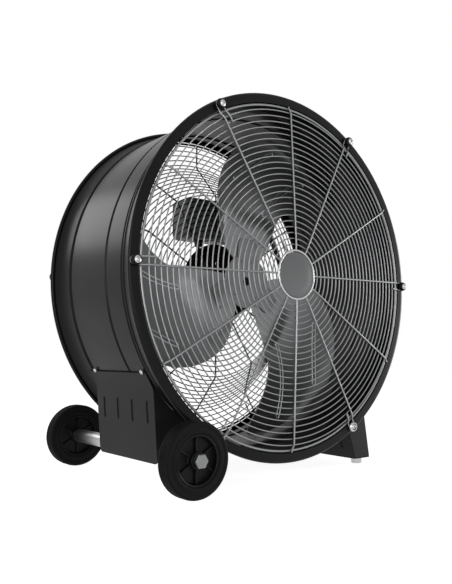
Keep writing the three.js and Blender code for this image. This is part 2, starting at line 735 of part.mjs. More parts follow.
// ---------------------------------------------------------------- wheels and axle

const wheelSeat = axleRodRadius + runGap;

function makeTyre(face) {
  const a = face;
  const b = face + wheelWidth;
  const s = tyreShoulder;
  const tread = [];
  const grooves = 2;
  for (let i = 0; i < grooves; i++) {
    const y = a + wheelWidth * (i + 1) / (grooves + 1);
    tread.push([tyreRadius, y - 1], [tyreRadius - 1.2, y], [tyreRadius, y + 1]);
  }
  const profile = [[tyreSeatRadius, a], [tyreRadius - s, a], [tyreRadius, a + s], ...tread,
    [tyreRadius, b - s], [tyreRadius - s, b], [tyreSeatRadius, b], [tyreSeatRadius, a]];
  return turned(profile, 24).translate(axleX, 0, axleZ);
}

function makeWheelHub(face) {
  const rimOuter = tyreSeatRadius - seatGap;
  const rimInner = rimOuter - 3.5;
  const middle = face + wheelWidth / 2;
  const rim = disc(rimOuter, face + 1.5, face + wheelWidth - 1.5, 24, rimInner);
  const web = disc(rimInner + 1, middle - 2, middle + 2, 24);
  const boss = disc(wheelBossRadius, face, face + wheelWidth, 12);
  const rib = new THREE.BoxGeometry(rimInner - wheelBossRadius + 4, wheelWidth - 9, 3)
    .translate((rimInner + wheelBossRadius) / 2, middle, 0);
  const ribAngles = Array.from({ length: wheelRibCount }, (_, i) => 30 + i * 360 / wheelRibCount);
  const bore = disc(wheelSeat, face - 1, face + wheelWidth + 1, 12);
  return cut(join(rim, web, boss, ...around(rib, ribAngles)), bore).translate(axleX, 0, axleZ);
}

const tubeFront = frontWheelFace + wheelWidth + 1.2;
const tubeRear = rearWheelFace - 1.2;
const rodFront = frontWheelFace - seatGap;
const rodRear = rearWheelFace + wheelWidth + seatGap;

function makeAxleTube() {
  return disc(axleTubeRadius, tubeFront, tubeRear, 20, axleRodRadius + seatGap).translate(axleX, 0, axleZ);
}

function makeAxleRod() {
  return disc(axleRodRadius, rodFront, rodRear, 12).translate(axleX, 0, axleZ);
}

// Hexagon nut with a chamfered face and a round boss against the wheel.
function makeAxleNut(seat, direction) {
  const y = (h) => seat + direction * h;
  const nut = turned([[0, y(0)], [nutAcross, y(0)], [nutAcross, y(nutHeight - 1.5)],
    [nutAcross - 1.5, y(nutHeight)], [0, y(nutHeight)]], 6);
  return nut.rotateY(30 * deg).translate(axleX, 0, axleZ);
}

// ---------------------------------------------------------------- wheel bracket

const saddleRadius = drumBodyRadius + seatGap;
const wallArcRadius = drumBodyRadius + 1;

// Fixing tab that lies on the drum, from one angle to another and between two y planes.
function drumTab(from, to, y0, y1) {
  const steps = 4;
  return plateXZ(outline([...arcPoints(saddleRadius, from, to, steps),
    ...arcPoints(saddleRadius + sheet, to, from, steps)]), y0, y1);
}

function bracketSheet() {
  const outer = polar(saddleRadius + sheet, bracketTopAngle, 0);
  const inner = polar(saddleRadius, bracketTopAngle, 0);
  return outline([[outer.x, outer.z], [bracketFoldX, bracketFoldZ], [bracketFootX, bracketBottom],
    [bracketFootX + sheet, bracketBottom], [bracketFoldX + sheet, bracketFoldZ], [inner.x, inner.z]]);
}

function makeWheelBracket() {
  const skin = plateXZ(bracketSheet(), bracketFront, standRear);
  const wall = outline([[bracketFoldX + 1, bracketFoldZ], [bracketFootX + 1, bracketBottom],
    [bracketInnerX, bracketBottom],
    ...arcPoints(wallArcRadius, bracketSaddleAngle, wallTopAngle, 8)]);
  const frontWall = plateXZ(wall, bracketFront, bracketFront + sheet);
  const rearWall = plateXZ(wall, standRear - sheet, standRear);
  const tabFrom = tabAngle - tabSpan / 2;
  const tabTo = tabAngle + tabSpan / 2;
  const frontTab = drumTab(tabFrom, tabTo, bracketFront + sheet / 2, bracketFront + tabWidth);
  const rearTab = drumTab(tabFrom, tabTo, standRear - tabWidth, standRear - sheet / 2);
  const whole = join(skin, frontWall, rearWall, frontTab, rearTab);
  const axleHole = disc(axleTubeRadius + seatGap, bracketFront - 5, standRear + 5, 20)
    .translate(axleX, 0, axleZ);
  const tools = [axleHole];
  for (const [y, side] of [[bracketFront, 1], [standRear, -1]]) {
    tools.push(cornerCutter(y, side));
  }
  const lean = Math.atan2(bracketFootX - bracketFoldX, bracketFoldZ - bracketBottom);
  const slotX = bracketFoldX + (bracketFoldZ - slotMiddleZ) * Math.tan(lean);
  for (const y of slotYs) tools.push(slotCutter(slotX, y, slotMiddleZ, lean));
  return cut(whole, ...tools);
}
const slotMiddleZ = bracketFoldZ - slotBelowFold - slotLength / 2;
const slotPitch = (standRear - bracketFront) / slotCount;
const slotYs = Array.from({ length: slotCount }, (_, i) => bracketFront + slotPitch * (i + 0.45));

// What is cut away outside a rounded lower corner of the bracket.
function cornerCutter(y, side) {
  const r = bracketCorner;
  const shape = new THREE.Shape();
  shape.moveTo(y - side * 2, bracketBottom - 2);
  shape.lineTo(y + side * r, bracketBottom - 2);
  shape.lineTo(y + side * r, bracketBottom);
  const steps = 4;
  for (let i = 1; i <= steps; i++) {
    const a = i / steps * Math.PI / 2;
    shape.lineTo(y + side * (r - r * Math.sin(a)), bracketBottom + r - r * Math.cos(a));
  }
  shape.lineTo(y - side * 2, bracketBottom + r);
  return plateYZ(shape, bracketFoldX - 10, bracketFootX + sheet + 0.5);
}

// Long shallow groove pressed into a leaning sheet whose face passes through a point.
function slotCutter(x, y, z, lean) {
  const shape = roundedRectangle(0, 0, slotWidth, slotLength, slotWidth / 2 - 0.01);
  return plateYZ(shape, -8, slotDepth, 1).rotateY(-lean).translate(x, y, z);
}

// ---------------------------------------------------------------- leg

function makeLeg() {
  const webTop = polar(saddleRadius + sheet / 2, legWebTopAngle, 0);
  const web = plateXZ(outline([[legInnerX, legBottom], [legInnerX + sheet, legBottom],
    [webTop.x + sheet, webTop.z], [webTop.x, webTop.z]]), legFront, standRear);
  const base = plateXZ(outline([[legInnerX, legBottom], [legOuterX, legBottom],
    [legOuterX, legBottom + sheet], [legInnerX, legBottom + sheet]]), legFront, standRear);
  const wall = outline([[legInnerX, legBottom], [legOuterX, legBottom],
    ...arcPoints(wallArcRadius, legOuterTopAngle, legWebTopAngle, 6)]);
  const frontWall = plateXZ(wall, legFront, legFront + sheet);
  const rearWall = plateXZ(wall, standRear - sheet, standRear);
  const tab = drumTab(legWebTopAngle - 0.2, legWebTopAngle + legTabAngle, flareDepth + 1,
    rearPlane - flareDepth - 1);
  const stems = footYs.map((y) => footHole(y));
  const lean = Math.atan2(webTop.x - legInnerX, webTop.z - legBottom);
  const slotZ = legBottom + legSlotRise + slotLength / 2;
  const slotX = legInnerX + (slotZ - legBottom) * Math.tan(lean);
  const slots = slotYs.map((y) => slotCutter(slotX, y, slotZ, -lean));
  return cut(join(web, base, frontWall, rearWall, tab), ...stems, ...slots);
}
const footYs = [legFront + footInset, standRear - footInset];

function upright(radius, z0, z1, facets = 16) {
  return new THREE.CylinderGeometry(radius, radius, z1 - z0, facets).rotateX(Math.PI / 2)
    .translate(0, 0, (z0 + z1) / 2);
}

function footHole(y) {
  return upright(footStem + holePlay, legBottom - 1, legBottom + sheet + 1).translate(footX, y, 0);
}

// Foot pad with a stem that passes through the leg's base.
function makeFoot(y) {
  const top = legBottom - seatGap;
  const stemTop = legBottom + sheet + footNutHeight + 1;
  const pad = [[0, floorZ], [footRadius - 0.8, floorZ], [footRadius, floorZ + 0.8], [footRadius, top],
    [footStem, top], [footStem, stemTop], [0, stemTop]];
  return turned(pad, 20).rotateX(Math.PI / 2).translate(footX, y, 0);
}

function makeFootNut(y) {
  const z0 = legBottom + sheet + seatGap;
  const nut = upright(footNutRadius, z0, z0 + footNutHeight, 6);
  return cut(nut, upright(footStem + holePlay, z0 - 1, z0 + footNutHeight + 1, 12)).translate(footX, y, 0);
}

// ---------------------------------------------------------------- the fan

const part = new THREE.Group();

function add(name, geometry, look) {
  const mesh = new THREE.Mesh(weld(geometry), new THREE.MeshStandardMaterial(look));
  mesh.name = name;
  part.add(mesh);
}

const blackSteel = { color: 0x1d1e1f, roughness: 0.38, metalness: 0.3 };
const silverWire = { color: 0xb9bcbe, roughness: 0.35, metalness: 0.8 };
const blackWire = { color: 0x17181a, roughness: 0.45, metalness: 0.3 };
const aluminium = { color: 0x8f9294, roughness: 0.42, metalness: 0.9 };
const zinc = { color: 0xcfd1d3, roughness: 0.3, metalness: 0.9 };
const badgeGrey = { color: 0x8d8f91, roughness: 0.5, metalness: 0.2 };
const motorBlack = { color: 0x0f1011, roughness: 0.6, metalness: 0.2 };
const boxGrey = { color: 0x3a3c3e, roughness: 0.6, metalness: 0 };
const moulded = { color: 0x17181a, roughness: 0.55, metalness: 0 };
const rubber = { color: 0x1b1c1d, roughness: 0.8, metalness: 0 };
const bracketGrey = { color: 0x2b2c2d, roughness: 0.5, metalness: 0.2 };

add('drum_shell', makeDrum(), blackSteel);
add('front_guard', makeFrontGuard(), silverWire);
add('rear_guard', makeRearGuard(), blackWire);
add('guard_badge', makeBadge(), badgeGrey);
add('badge_ring', makeBadgeRing(), zinc);
const cupWasherClips = [240, 300];
clipAngles.forEach((a, i) => {
  const cup = cupWasherClips.includes(a);
  const seat = cup ? cupScrewSeat : washerBack - capHeight - seatGap;
  add(`front_clip_washer_${i + 1}`, cup ? makeCupWasher(a) : makeClipCap(a), cup ? zinc : moulded);
  add(`front_clip_screw_${i + 1}`, makeFrontScrew(a, seat), zinc);
  add(`rear_clip_screw_${i + 1}`, makeRearScrew(a), zinc);
});

add('hub_plate', makeHubPlate(), aluminium);
bladeAngles.forEach((a, i) => add(`blade_${i + 1}`, around(makeBlade(), [a])[0], aluminium));
add('motor_shaft', makeShaft(), zinc);
add('hub_set_screw', makeSetScrew(), zinc);

add('motor_housing', makeMotorHousing(), motorBlack);
add('motor_rear_cover', makeMotorCover(), motorBlack);
add('motor_mount_plate', makeMountPlate(), motorBlack);
add('motor_lead', makeMotorLead(), moulded);

add('control_box', makeControlBox(), boxGrey);
add('control_box_lid', makeBoxLid(), boxGrey);
add('speed_switch', makeSwitchBody(), moulded);
add('knob_spindle', makeSpindle(), zinc);
add('speed_knob', makeKnob(), moulded);
add('motor_lead_gland', makeGland(glandX), moulded);

add('axle_tube', makeAxleTube(), zinc);
add('axle_rod', makeAxleRod(), zinc);
add('front_axle_nut', makeAxleNut(rodFront - seatGap, -1), zinc);
add('rear_axle_nut', makeAxleNut(rodRear + seatGap, 1), zinc);
add('front_tyre', makeTyre(frontWheelFace), rubber);
add('front_wheel_hub', makeWheelHub(frontWheelFace), moulded);
add('rear_tyre', makeTyre(rearWheelFace), rubber);
add('rear_wheel_hub', makeWheelHub(rearWheelFace), moulded);

add('wheel_bracket', makeWheelBracket(), bracketGrey);
add('leg_bracket', makeLeg(), bracketGrey);
add('front_foot', makeFoot(footYs[0]), zinc);
add('rear_foot', makeFoot(footYs[1]), zinc);
add('front_foot_nut', makeFootNut(footYs[0]), zinc);
add('rear_foot_nut', makeFootNut(footYs[1]), zinc);

const frontMost = rodFront - seatGap - nutHeight;
const rearMost = rodRear + seatGap + nutHeight;
part.position.set(0, -(frontMost + rearMost) / 2, -floorZ);
part.updateMatrixWorld(true);

export default part;
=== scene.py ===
"""Dresses the drum fan: smooth sheet metal, wire guards, blades, wheels, finishes, light and camera."""

from math import atan2, cos, degrees, hypot, pi, radians, sin, tan

import bpy
from mathutils import Matrix, Vector


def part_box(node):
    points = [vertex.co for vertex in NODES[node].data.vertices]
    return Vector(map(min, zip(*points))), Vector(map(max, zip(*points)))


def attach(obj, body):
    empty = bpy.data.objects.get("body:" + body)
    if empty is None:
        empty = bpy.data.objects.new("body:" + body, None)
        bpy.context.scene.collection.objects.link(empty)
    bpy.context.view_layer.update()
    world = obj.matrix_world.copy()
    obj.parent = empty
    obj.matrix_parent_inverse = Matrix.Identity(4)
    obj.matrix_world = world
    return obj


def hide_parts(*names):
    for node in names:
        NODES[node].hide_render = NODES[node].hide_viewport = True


bl_info = {
    "name": "Drum Fan",
    "version": (1, 0, 0),
    "blender": (4, 5, 0),
    "location": "View3D > Sidebar > Drum Fan",
    "description": "Models and dresses a drum fan on two wheels and two feet",
    "category": "Object",
}

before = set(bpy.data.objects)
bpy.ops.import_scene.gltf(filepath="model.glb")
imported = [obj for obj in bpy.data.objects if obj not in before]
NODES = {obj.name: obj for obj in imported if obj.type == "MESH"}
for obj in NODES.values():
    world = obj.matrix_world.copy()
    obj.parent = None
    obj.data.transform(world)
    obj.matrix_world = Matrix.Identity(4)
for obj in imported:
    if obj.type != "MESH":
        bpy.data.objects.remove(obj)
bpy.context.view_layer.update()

MM = 0.001
PHOTO_HEIGHT = 584


def in_mm(*lengths):
    return [given / MM for given in lengths]


def middle(node):
    """Centre of a node's box."""
    low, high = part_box(node)
    return (low + high) / 2


def on_axis(node):
    """Where the centre line of a node that lies along Y crosses the plane y = 0."""
    centre = middle(node)
    return Vector((centre.x, 0, centre.z))


def round_node(node, axis="y"):
    """Radius and length in millimetres of a round node along an axis, and where along it the node starts."""
    low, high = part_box(node)
    start, end = getattr(low, axis), getattr(high, axis)
    return *in_mm((high.x - low.x) / 2, end - start), start


# ---------------------------------------------------------------- places taken from the frame

DRUM_LOW, DRUM_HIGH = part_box("drum_shell")
DRUM_BODY = 313.5
ROLL_RADIUS = 4
RIM_RADIUS = 330
FRONT_RIM_Y = DRUM_LOW.y + ROLL_RADIUS * MM
DRUM_DEPTH = DRUM_HIGH.y - ROLL_RADIUS * MM - FRONT_RIM_Y
AXIS_Z = DRUM_HIGH.z - RIM_RADIUS * MM
AXIS = Vector((0, 0, AXIS_Z))
AXLE = on_axis("axle_rod")

CLIP_ANGLES = (0, 60, 120, 180, 240, 300)
PLAIN_SPOKE_ANGLES = (30, 90, 150, 210, 270, 330)
CUP_CLIPS = (240, 300)
BLADE_ANGLES = (0, 120, 240)


def from_rim(y):
    """Height along the fan axis of a point y metres behind the front rim."""
    return FRONT_RIM_Y + y


def at(x, y, z):
    """Point from millimetres to the right of the fan axis, behind the front rim and above the axis."""
    return Vector((x * MM, FRONT_RIM_Y + y * MM, AXIS_Z + z * MM))


def swing(radius, angle):
    """Flat point at a radius and an angle in degrees."""
    return radius * cos(radians(angle)), radius * sin(radians(angle))


def arc(radius, start, end, step):
    """Flat points round the fan axis, from one angle to another in degrees."""
    count = max(1, round(abs(end - start) / step))
    return [swing(radius, blend(start, end, i / count)) for i in range(count + 1)]


def mirrored(profile, width):
    """Profile of the other side of a piece of that width, in reverse order."""
    return [(r, width - y) for r, y in reversed(profile)]


def polar(radius, angle, y, sideways=0.0):
    """Point at a radius and an angle in degrees about the fan axis, shifted sideways."""
    c, s = cos(radians(angle)), sin(radians(angle))
    return Vector((radius * c - sideways * s, y, AXIS_Z + radius * s + sideways * c))


def blend(a, b, t):
    return a + (b - a) * t


def clamp(value, low=0.0, high=1.0):
    return max(low, min(high, value))


def ease(value, low, high):
    """Smooth step from 0 at low to 1 at high."""
    t = clamp((value - low) / (high - low))
    return t * t * (3 - 2 * t)


def through(x, xs, ys):
    """Smooth curve through the points (xs, ys), read at x."""
    last = len(xs) - 2
    i = next((k for k in range(last + 1) if x <= xs[k + 1]), last)
    span = xs[i + 1] - xs[i]
    t = (x - xs[i]) / span

    def slope(k):
        a, b = max(k - 1, 0), min(k + 1, last + 1)
        return (ys[b] - ys[a]) / (xs[b] - xs[a]) * span

    a, b = ys[i], ys[i + 1]
    return (a * (1 + 2 * t) * (1 - t) ** 2 + b * t * t * (3 - 2 * t)
            + slope(i) * t * (1 - t) ** 2 - slope(i + 1) * t * t * (1 - t))


# ---------------------------------------------------------------- sizes and colours


def length(name, description, millimetres):
    return bpy.props.FloatProperty(name=name, description=description, default=millimetres * MM,
                                   min=0.0, unit="LENGTH", subtype="DISTANCE", precision=4)


def colour(name, description, *default):
    return bpy.props.FloatVectorProperty(name=name, description=description, default=default,
                                         subtype="COLOR", size=3, min=0.0, max=1.0)


class DrumFanSizes(bpy.types.PropertyGroup):
    """Sizes that a user would change."""

    body_radius: length("Drum radius", "Outside of the straight middle of the drum", DRUM_BODY)
    wall: length("Drum wall", "Thickness of the drum's sheet", 1.6)
    flare_depth: length("Flare depth", "From a rim to where its bell starts", 44)
    groove_at: length("Groove place", "Groove round the drum, behind the front rim", 101)
    groove_depth: length("Groove depth", "Depth of the grooves round the drum", 2.4)
    ring_pitch: length("Ring pitch", "Distance between the rings of the front guard", 10.6)
    rear_ring_pitch: length("Rear ring pitch", "Distance between rings along the rear guard's wires", 10.4)
    ring_wire: length("Ring wire", "Radius of the fine rings' wire", 1.15)
    spoke_wire: length("Spoke wire", "Radius of the radial wires", 1.6)
    rim_wire: length("Rim wire", "Radius of the thick ring at a guard's edge", 2.4)
    hairpin_half: length("Hairpin", "Half the distance between a hairpin's legs", 6.7)
    blade_sheet: length("Blade sheet", "Thickness of the blades", 2)
    blade_camber: length("Camber", "Depth of a blade's hollow", 13)
    edge_round: length("Edge rounding", "Rounding of the folded sheets' edges", 0.6)


class DrumFanColours(bpy.types.PropertyGroup):
    """Colours that a user would change."""

    drum: colour("Drum", "Powder coat of the drum", 0.004, 0.0041, 0.0044)
    stand: colour("Stand", "Powder coat of the stand's sheets", 0.012, 0.0122, 0.0127)
    front_wire: colour("Front guard", "Plated wire of the front guard", 0.25, 0.254, 0.258)
    rear_wire: colour("Rear guard", "Powder coat of the rear guard", 0.01, 0.01, 0.0105)
    blade: colour("Blades", "Sheet of the blades", 0.12, 0.122, 0.124)
    zinc: colour("Fasteners", "Plated screws, nuts and tube", 0.46, 0.465, 0.47)
    badge: colour("Badge", "Disc in the middle of the front guard", 0.18, 0.183, 0.187)
    plastic: colour("Moulded parts", "Black moulded parts", 0.003, 0.003, 0.0033)
    motor: colour("Motor", "Paint of the motor", 0.003, 0.003, 0.0033)
    rubber: colour("Tyres", "Rubber of the tyres", 0.004, 0.004, 0.0042)
    box: colour("Control box", "Plastic of the control box", 0.16, 0.162, 0.166)


def sizes():
    return bpy.context.scene.drum_fan_sizes


def colours():
    return bpy.context.scene.drum_fan_colours


# ---------------------------------------------------------------- shader expressions


class Value:
    """A shader output on which Python's arithmetic works."""

    def __init__(self, tree, output):
        self.tree = tree
        self.output = output

    def math(self, operation, *inputs):
        node = self.tree.nodes.new("ShaderNodeMath")
        node.operation = operation
        for plug, given in zip(node.inputs, inputs):
            feed(self.tree, plug, given)
        return Value(self.tree, node.outputs[0])

    def __add__(self, other):
        return self.math("ADD", self, other)

    def __radd__(self, other):
        return self.math("ADD", other, self)

    def __sub__(self, other):
        return self.math("SUBTRACT", self, other)

    def __rsub__(self, other):
        return self.math("SUBTRACT", other, self)

    def __mul__(self, other):
        return self.math("MULTIPLY", self, other)

    def __rmul__(self, other):
        return self.math("MULTIPLY", other, self)

    def __truediv__(self, other):
        return self.math("DIVIDE", self, other)

    def __pow__(self, other):
        return self.math("POWER", self, other)

    def clipped(self):
        return self.math("MINIMUM", self.math("MAXIMUM", self, 0.0), 1.0)


def feed(tree, plug, given):
    """Links a value to a socket, or sets the socket to a plain number or colour."""
    if isinstance(given, Value):
        tree.links.new(given.output, plug)
    elif plug.type == "RGBA" and len(given) == 3:
        plug.default_value = (*given, 1.0)
    else:
        plug.default_value = given


class Finish:
    """A Principled material that is built by expressions."""

    def __init__(self, name, **constants):
        self.material = bpy.data.materials.new(name)
        self.material.use_nodes = True
        self.tree = self.material.node_tree
        self.shader = self.tree.nodes["Principled BSDF"]
        self.set(**constants)
        self.place = self.node("ShaderNodeTexCoord", "Object")

    def set(self, **sockets):
        for name, given in sockets.items():
            feed(self.tree, self.shader.inputs[name.replace("_", " ").title().replace("Ior", "IOR")], given)

    def node(self, kind, output=0, settings=None, **inputs):
        node = self.tree.nodes.new(kind)
        for key, given in (settings or {}).items():
            setattr(node, key, given)
        for key, given in inputs.items():
            feed(self.tree, node.inputs[key.replace("_", " ")], given)
        return Value(self.tree, node.outputs[output])

    def noise(self, scale, detail=2.0, roughness=0.5, place=None):
        """Noise from 0 to 1; scale is in patches per metre."""
        return self.node("ShaderNodeTexNoise", Vector=place or self.place, Scale=scale, Detail=detail,
                         Roughness=roughness)

    def stretched(self, x, y, z):
        """The object's coordinates, scaled along each axis."""
        return self.node("ShaderNodeMapping", Vector=self.place, Scale=(x, y, z))

    def mix(self, a, b, factor):
        """Colour between a and b."""
        node = self.tree.nodes.new("ShaderNodeMix")
        node.data_type = "RGBA"
        feed(self.tree, node.inputs["Factor"], factor)
        feed(self.tree, node.inputs[6], a)
        feed(self.tree, node.inputs[7], b)
        return Value(self.tree, node.outputs[2])

    def along(self, axis):
        """Object coordinate along one axis, in metres."""
        node = self.tree.nodes.new("ShaderNodeSeparateXYZ")
        feed(self.tree, node.inputs[0], self.place)
        return Value(self.tree, node.outputs[axis])

    def bump(self, height, depth, strength=1.0):
        """Relief of a height from 0 to 1, depth metres deep."""
        self.set(normal=self.node("ShaderNodeBump", Strength=strength, Distance=depth, Height=height))


def scaled(rgb, factor):
    return tuple(clamp(c * factor) for c in rgb)


def powder_coat(name, rgb, roughness=0.36, level=0.5):
    """Sprayed and baked powder: fine orange peel, faint cloudiness and a little dust."""
    finish = Finish(name, metallic=0.0, specular_ior_level=level, ior=1.5)
    clouds = finish.noise(6.0, 3.0)
    grain = finish.noise(900.0, 2.0, 0.6)
    finish.set(base_color=finish.mix(scaled(rgb, 0.85), scaled(rgb, 1.25), clouds),
               roughness=roughness + (clouds - 0.5) * 0.10 + (grain - 0.5) * 0.08)
    finish.bump(finish.noise(420.0, 3.0, 0.55) * 0.7 + grain * 0.3, 0.00008, 0.4)
    return finish.material


def plated_wire(name, rgb, roughness=0.3):
    """Bright plate with slight dulling."""
    finish = Finish(name, metallic=1.0)
    dull = finish.noise(28.0, 4.0)
    finish.set(base_color=finish.mix(scaled(rgb, 0.85), scaled(rgb, 1.12), dull),
               roughness=roughness + (dull - 0.5) * 0.16)
    return finish.material


# Radii of the painted highlight on the blades and hub: full inside the first, gone beyond the second.
PAINTED_HIGHLIGHT_FULL = 100 * MM
PAINTED_HIGHLIGHT_END = 205 * MM


def rolled_sheet(name, rgb, roughness=0.4, root_highlight=1.0):
    """Satin rolled sheet: long fine grain, soft clouds, and a brighter root where it is polished."""
    finish = Finish(name, metallic=0.75, specular_ior_level=0.2)
    clouds = finish.noise(7.0, 3.0)
    grain = finish.noise(60.0, 3.0, 0.6, finish.stretched(1.0, 1.0, 14.0))
    sheet = finish.mix(scaled(rgb, 0.82), scaled(rgb, 1.15), clouds * 0.7 + grain * 0.3)
    out = finish.along(0) ** 2 + (finish.along(2) - AXIS_Z) ** 2
    # Painted highlight: the sheet's colour is brightened towards the hub.
    root = ((PAINTED_HIGHLIGHT_END ** 2 - out) / (PAINTED_HIGHLIGHT_END ** 2 - PAINTED_HIGHLIGHT_FULL ** 2)).clipped()
    finish.set(base_color=finish.mix(sheet, scaled(rgb, root_highlight), root),
               roughness=roughness + (clouds - 0.5) * 0.1 + (grain - 0.5) * 0.12)
    finish.bump(grain, 0.00010, 0.35)
    return finish.material


def moulded(name, rgb, roughness=0.5, grain_depth=0.00012):
    """Moulded plastic with a fine spark-eroded grain."""
    finish = Finish(name, metallic=0.0, specular_ior_level=0.13)
    grain = finish.noise(1300.0, 2.0, 0.6)
    wear = finish.noise(14.0, 4.0)
    finish.set(base_color=finish.mix(scaled(rgb, 0.85), scaled(rgb, 1.3), wear),
               roughness=roughness + (wear - 0.5) * 0.12 + (grain - 0.5) * 0.08)
    finish.bump(grain, grain_depth, 0.6)
    return finish.material


def tyre_rubber(name, rgb):
    """Dull rubber with a little dust in its grain."""
    finish = Finish(name, metallic=0.0, specular_ior_level=0.08)
    dust = finish.noise(22.0, 5.0, 0.65)
    grain = finish.noise(700.0, 3.0, 0.6)
    finish.set(base_color=finish.mix(rgb, scaled(rgb, 2.0), dust * grain),
               roughness=0.58 + (dust - 0.5) * 0.2)
    finish.bump(grain, 0.00025, 0.7)
    return finish.material


FINISHES = {}


def make_finishes():
    c = colours()
    FINISHES.update(
        drum=powder_coat("drum_powder_coat", c.drum, 0.3, 0.12),
        stand=powder_coat("stand_powder_coat", c.stand, 0.5, 0.14),
        front_wire=plated_wire("plated_guard_wire", c.front_wire, 0.34),
        rear_wire=powder_coat("rear_guard_coat", c.rear_wire, 0.42, 0.2),
        # The last argument of the blade and hub sheets sets how strong their painted highlight near the hub
        # is.
        blade=rolled_sheet("blade_sheet", c.blade, 0.34, 2.2),
        # The ribs' raised edges are coloured 4.2 times brighter than the blades: a painted highlight.
        rib=rolled_sheet("rib_edges_painted_highlight", scaled(c.blade, 4.2), 0.3, 1.0),
        hub=rolled_sheet("hub_sheet", scaled(c.blade, 1.5), 0.36, 1.2),
        zinc=plated_wire("zinc_plate", c.zinc, 0.24),
        nut=plated_wire("nut_plate", scaled(c.zinc, 0.45), 0.4),
        tube=plated_wire("tube_plate", c.zinc, 0.3),
        badge=moulded("badge_face", c.badge, 0.42),
        plastic=moulded("black_moulding", c.plastic, 0.46),
        motor=powder_coat("motor_paint", c.motor, 0.5, 0.08),
        rubber=tyre_rubber("tyre_rubber", c.rubber),
        box=moulded("box_moulding", c.box, 0.55, 0.0002),
    )


# ---------------------------------------------------------------- modelling by operators

SAME_PLACE = 1e-6


def deselect():
    bpy.ops.object.select_all(action="DESELECT")


def pick(piece):
    deselect()
    piece.select_set(True)
    bpy.context.view_layer.objects.active = piece


def modify(kind, **settings):
    """Adds a modifier to the active piece and applies it."""
    bpy.ops.object.modifier_add(type=kind)
    modifier = bpy.context.object.modifiers[-1]
    for key, given in settings.items():
        setattr(modifier, key, given)
    bpy.ops.object.modifier_apply(modifier=modifier.name)


def round_edges(width, segments=2, angle=30):
    """Rounds the sharp edges of the active piece by a width in millimetres."""
    modify("BEVEL", width=width * MM, segments=segments, limit_method="ANGLE", angle_limit=radians(angle),
           use_clamp_overlap=True)


def line(points):
    """Draws edges through points by extruding one vertex, and stays in edit mode."""
    deselect()
    bpy.ops.mesh.primitive_plane_add(size=MM)
    bpy.ops.object.mode_set(mode="EDIT")
    bpy.ops.mesh.merge(type="CENTER")
    bpy.ops.transform.translate(value=points[0])
    for a, b in zip(points, points[1:]):
        bpy.ops.mesh.extrude_region_move(TRANSFORM_OT_translate={"value": Vector(b) - Vector(a)})
    bpy.ops.mesh.select_all(action="SELECT")
    bpy.ops.mesh.remove_doubles(threshold=SAME_PLACE)


def tidy_mesh():
    """Merges doubles, points the faces outwards and leaves edit mode."""
    bpy.ops.mesh.select_all(action="SELECT")
    bpy.ops.mesh.remove_doubles(threshold=2 * SAME_PLACE)
    bpy.ops.mesh.normals_make_consistent(inside=False)
    bpy.ops.object.mode_set(mode="OBJECT")
    return bpy.context.object


def turned(profile, base, centre=AXIS, steps=64, way=1, upright=False):
    """Spins a profile about a line along Y through centre, or along Z if upright.

    The profile is a radius and a height in millimetres at each point, with heights counted from base
    along way. A profile that doesn't start on the axis is a ring's section and is closed.
    """
    if profile[0][0] > 0:
        profile = profile + profile[:1]
    places = [(centre.x + r * MM, base + way * h * MM) for r, h in profile]
    if upright:
        line([(x, centre.y, h) for x, h in places])
    else:
        line([(x, h, centre.z) for x, h in places])
    bpy.ops.mesh.spin(steps=steps, angle=2 * pi, center=centre, axis=(0, 0, 1) if upright else (0, 1, 0))
    return tidy_mesh()


def slab(outline, depth):
    """Fills a closed outline and extrudes it by a vector in millimetres."""
    line(outline)
    bpy.ops.mesh.edge_face_add()
    bpy.ops.mesh.extrude_region_move(TRANSFORM_OT_translate={"value": [step * MM for step in depth]})
    return tidy_mesh()


def web(points, base, thickness, centre=AXIS):
    """Rib that stands in a turned piece, from a radius and a height in millimetres at each corner."""
    outline = [centre + Vector((r * MM, base + h * MM, -thickness / 2 * MM)) for r, h in points]
    return slab(outline, (0, 0, thickness))


def pipe(points, radius, closed=False, sides=3):
    """Round wire along points."""
    deselect()
    bpy.ops.curve.primitive_nurbs_path_add()
    wire = bpy.context.object
    wire.data.splines.clear()
    spline = wire.data.splines.new("POLY")
    spline.points.add(len(points) - 1)
    for knot, point in zip(spline.points, points):
        knot.co = (*point, 1.0)
    spline.use_cyclic_u = closed
    wire.data.bevel_depth = radius
    wire.data.bevel_resolution = sides
    wire.data.use_fill_caps = not closed
    bpy.ops.object.convert(target="MESH")
    bpy.ops.object.mode_set(mode="EDIT")
    return tidy_mesh()


def ring(radius, y, wire, steps):
    """Ring of round wire about the fan axis."""
    deselect()
    bpy.ops.mesh.primitive_torus_add(location=(0, y, AXIS_Z), rotation=(pi / 2, 0, 0), major_radius=radius,
                                     minor_radius=wire, major_segments=steps, minor_segments=8)
    return bpy.context.object


def join(pieces):
    deselect()
    for piece in pieces:
        piece.select_set(True)
    bpy.context.view_layer.objects.active = pieces[0]
    bpy.ops.object.join()
    return bpy.context.object


def discard(*pieces):
    for piece in pieces:
        bpy.data.objects.remove(piece)


def moved(piece, offset):
    """Copy of a piece with its own mesh, moved by an offset."""
    copy = piece.copy()
    copy.data = piece.data.copy()
    bpy.context.scene.collection.objects.link(copy)
    copy.data.transform(Matrix.Translation(offset))
    return copy


def turn_mesh(piece, angle, centre):
    """Turns a piece's mesh about a line along Y through centre, by an angle in radians."""
    there = Matrix.Translation(centre)
    piece.data.transform(there @ Matrix.Rotation(angle, 4, "Y") @ there.inverted())
    return piece


def copy_round(piece, angle, centre=AXIS):
    """Copy of a piece, turned about a line along Y through centre by an angle in degrees."""
    return turn_mesh(moved(piece, (0, 0, 0)), -radians(angle), centre)


def copies_round(piece, angles, centre=AXIS):
    """Copies of a piece at each angle, joined in its place."""
    made = [copy_round(piece, angle, centre) for angle in angles]
    discard(piece)
    return join(made)


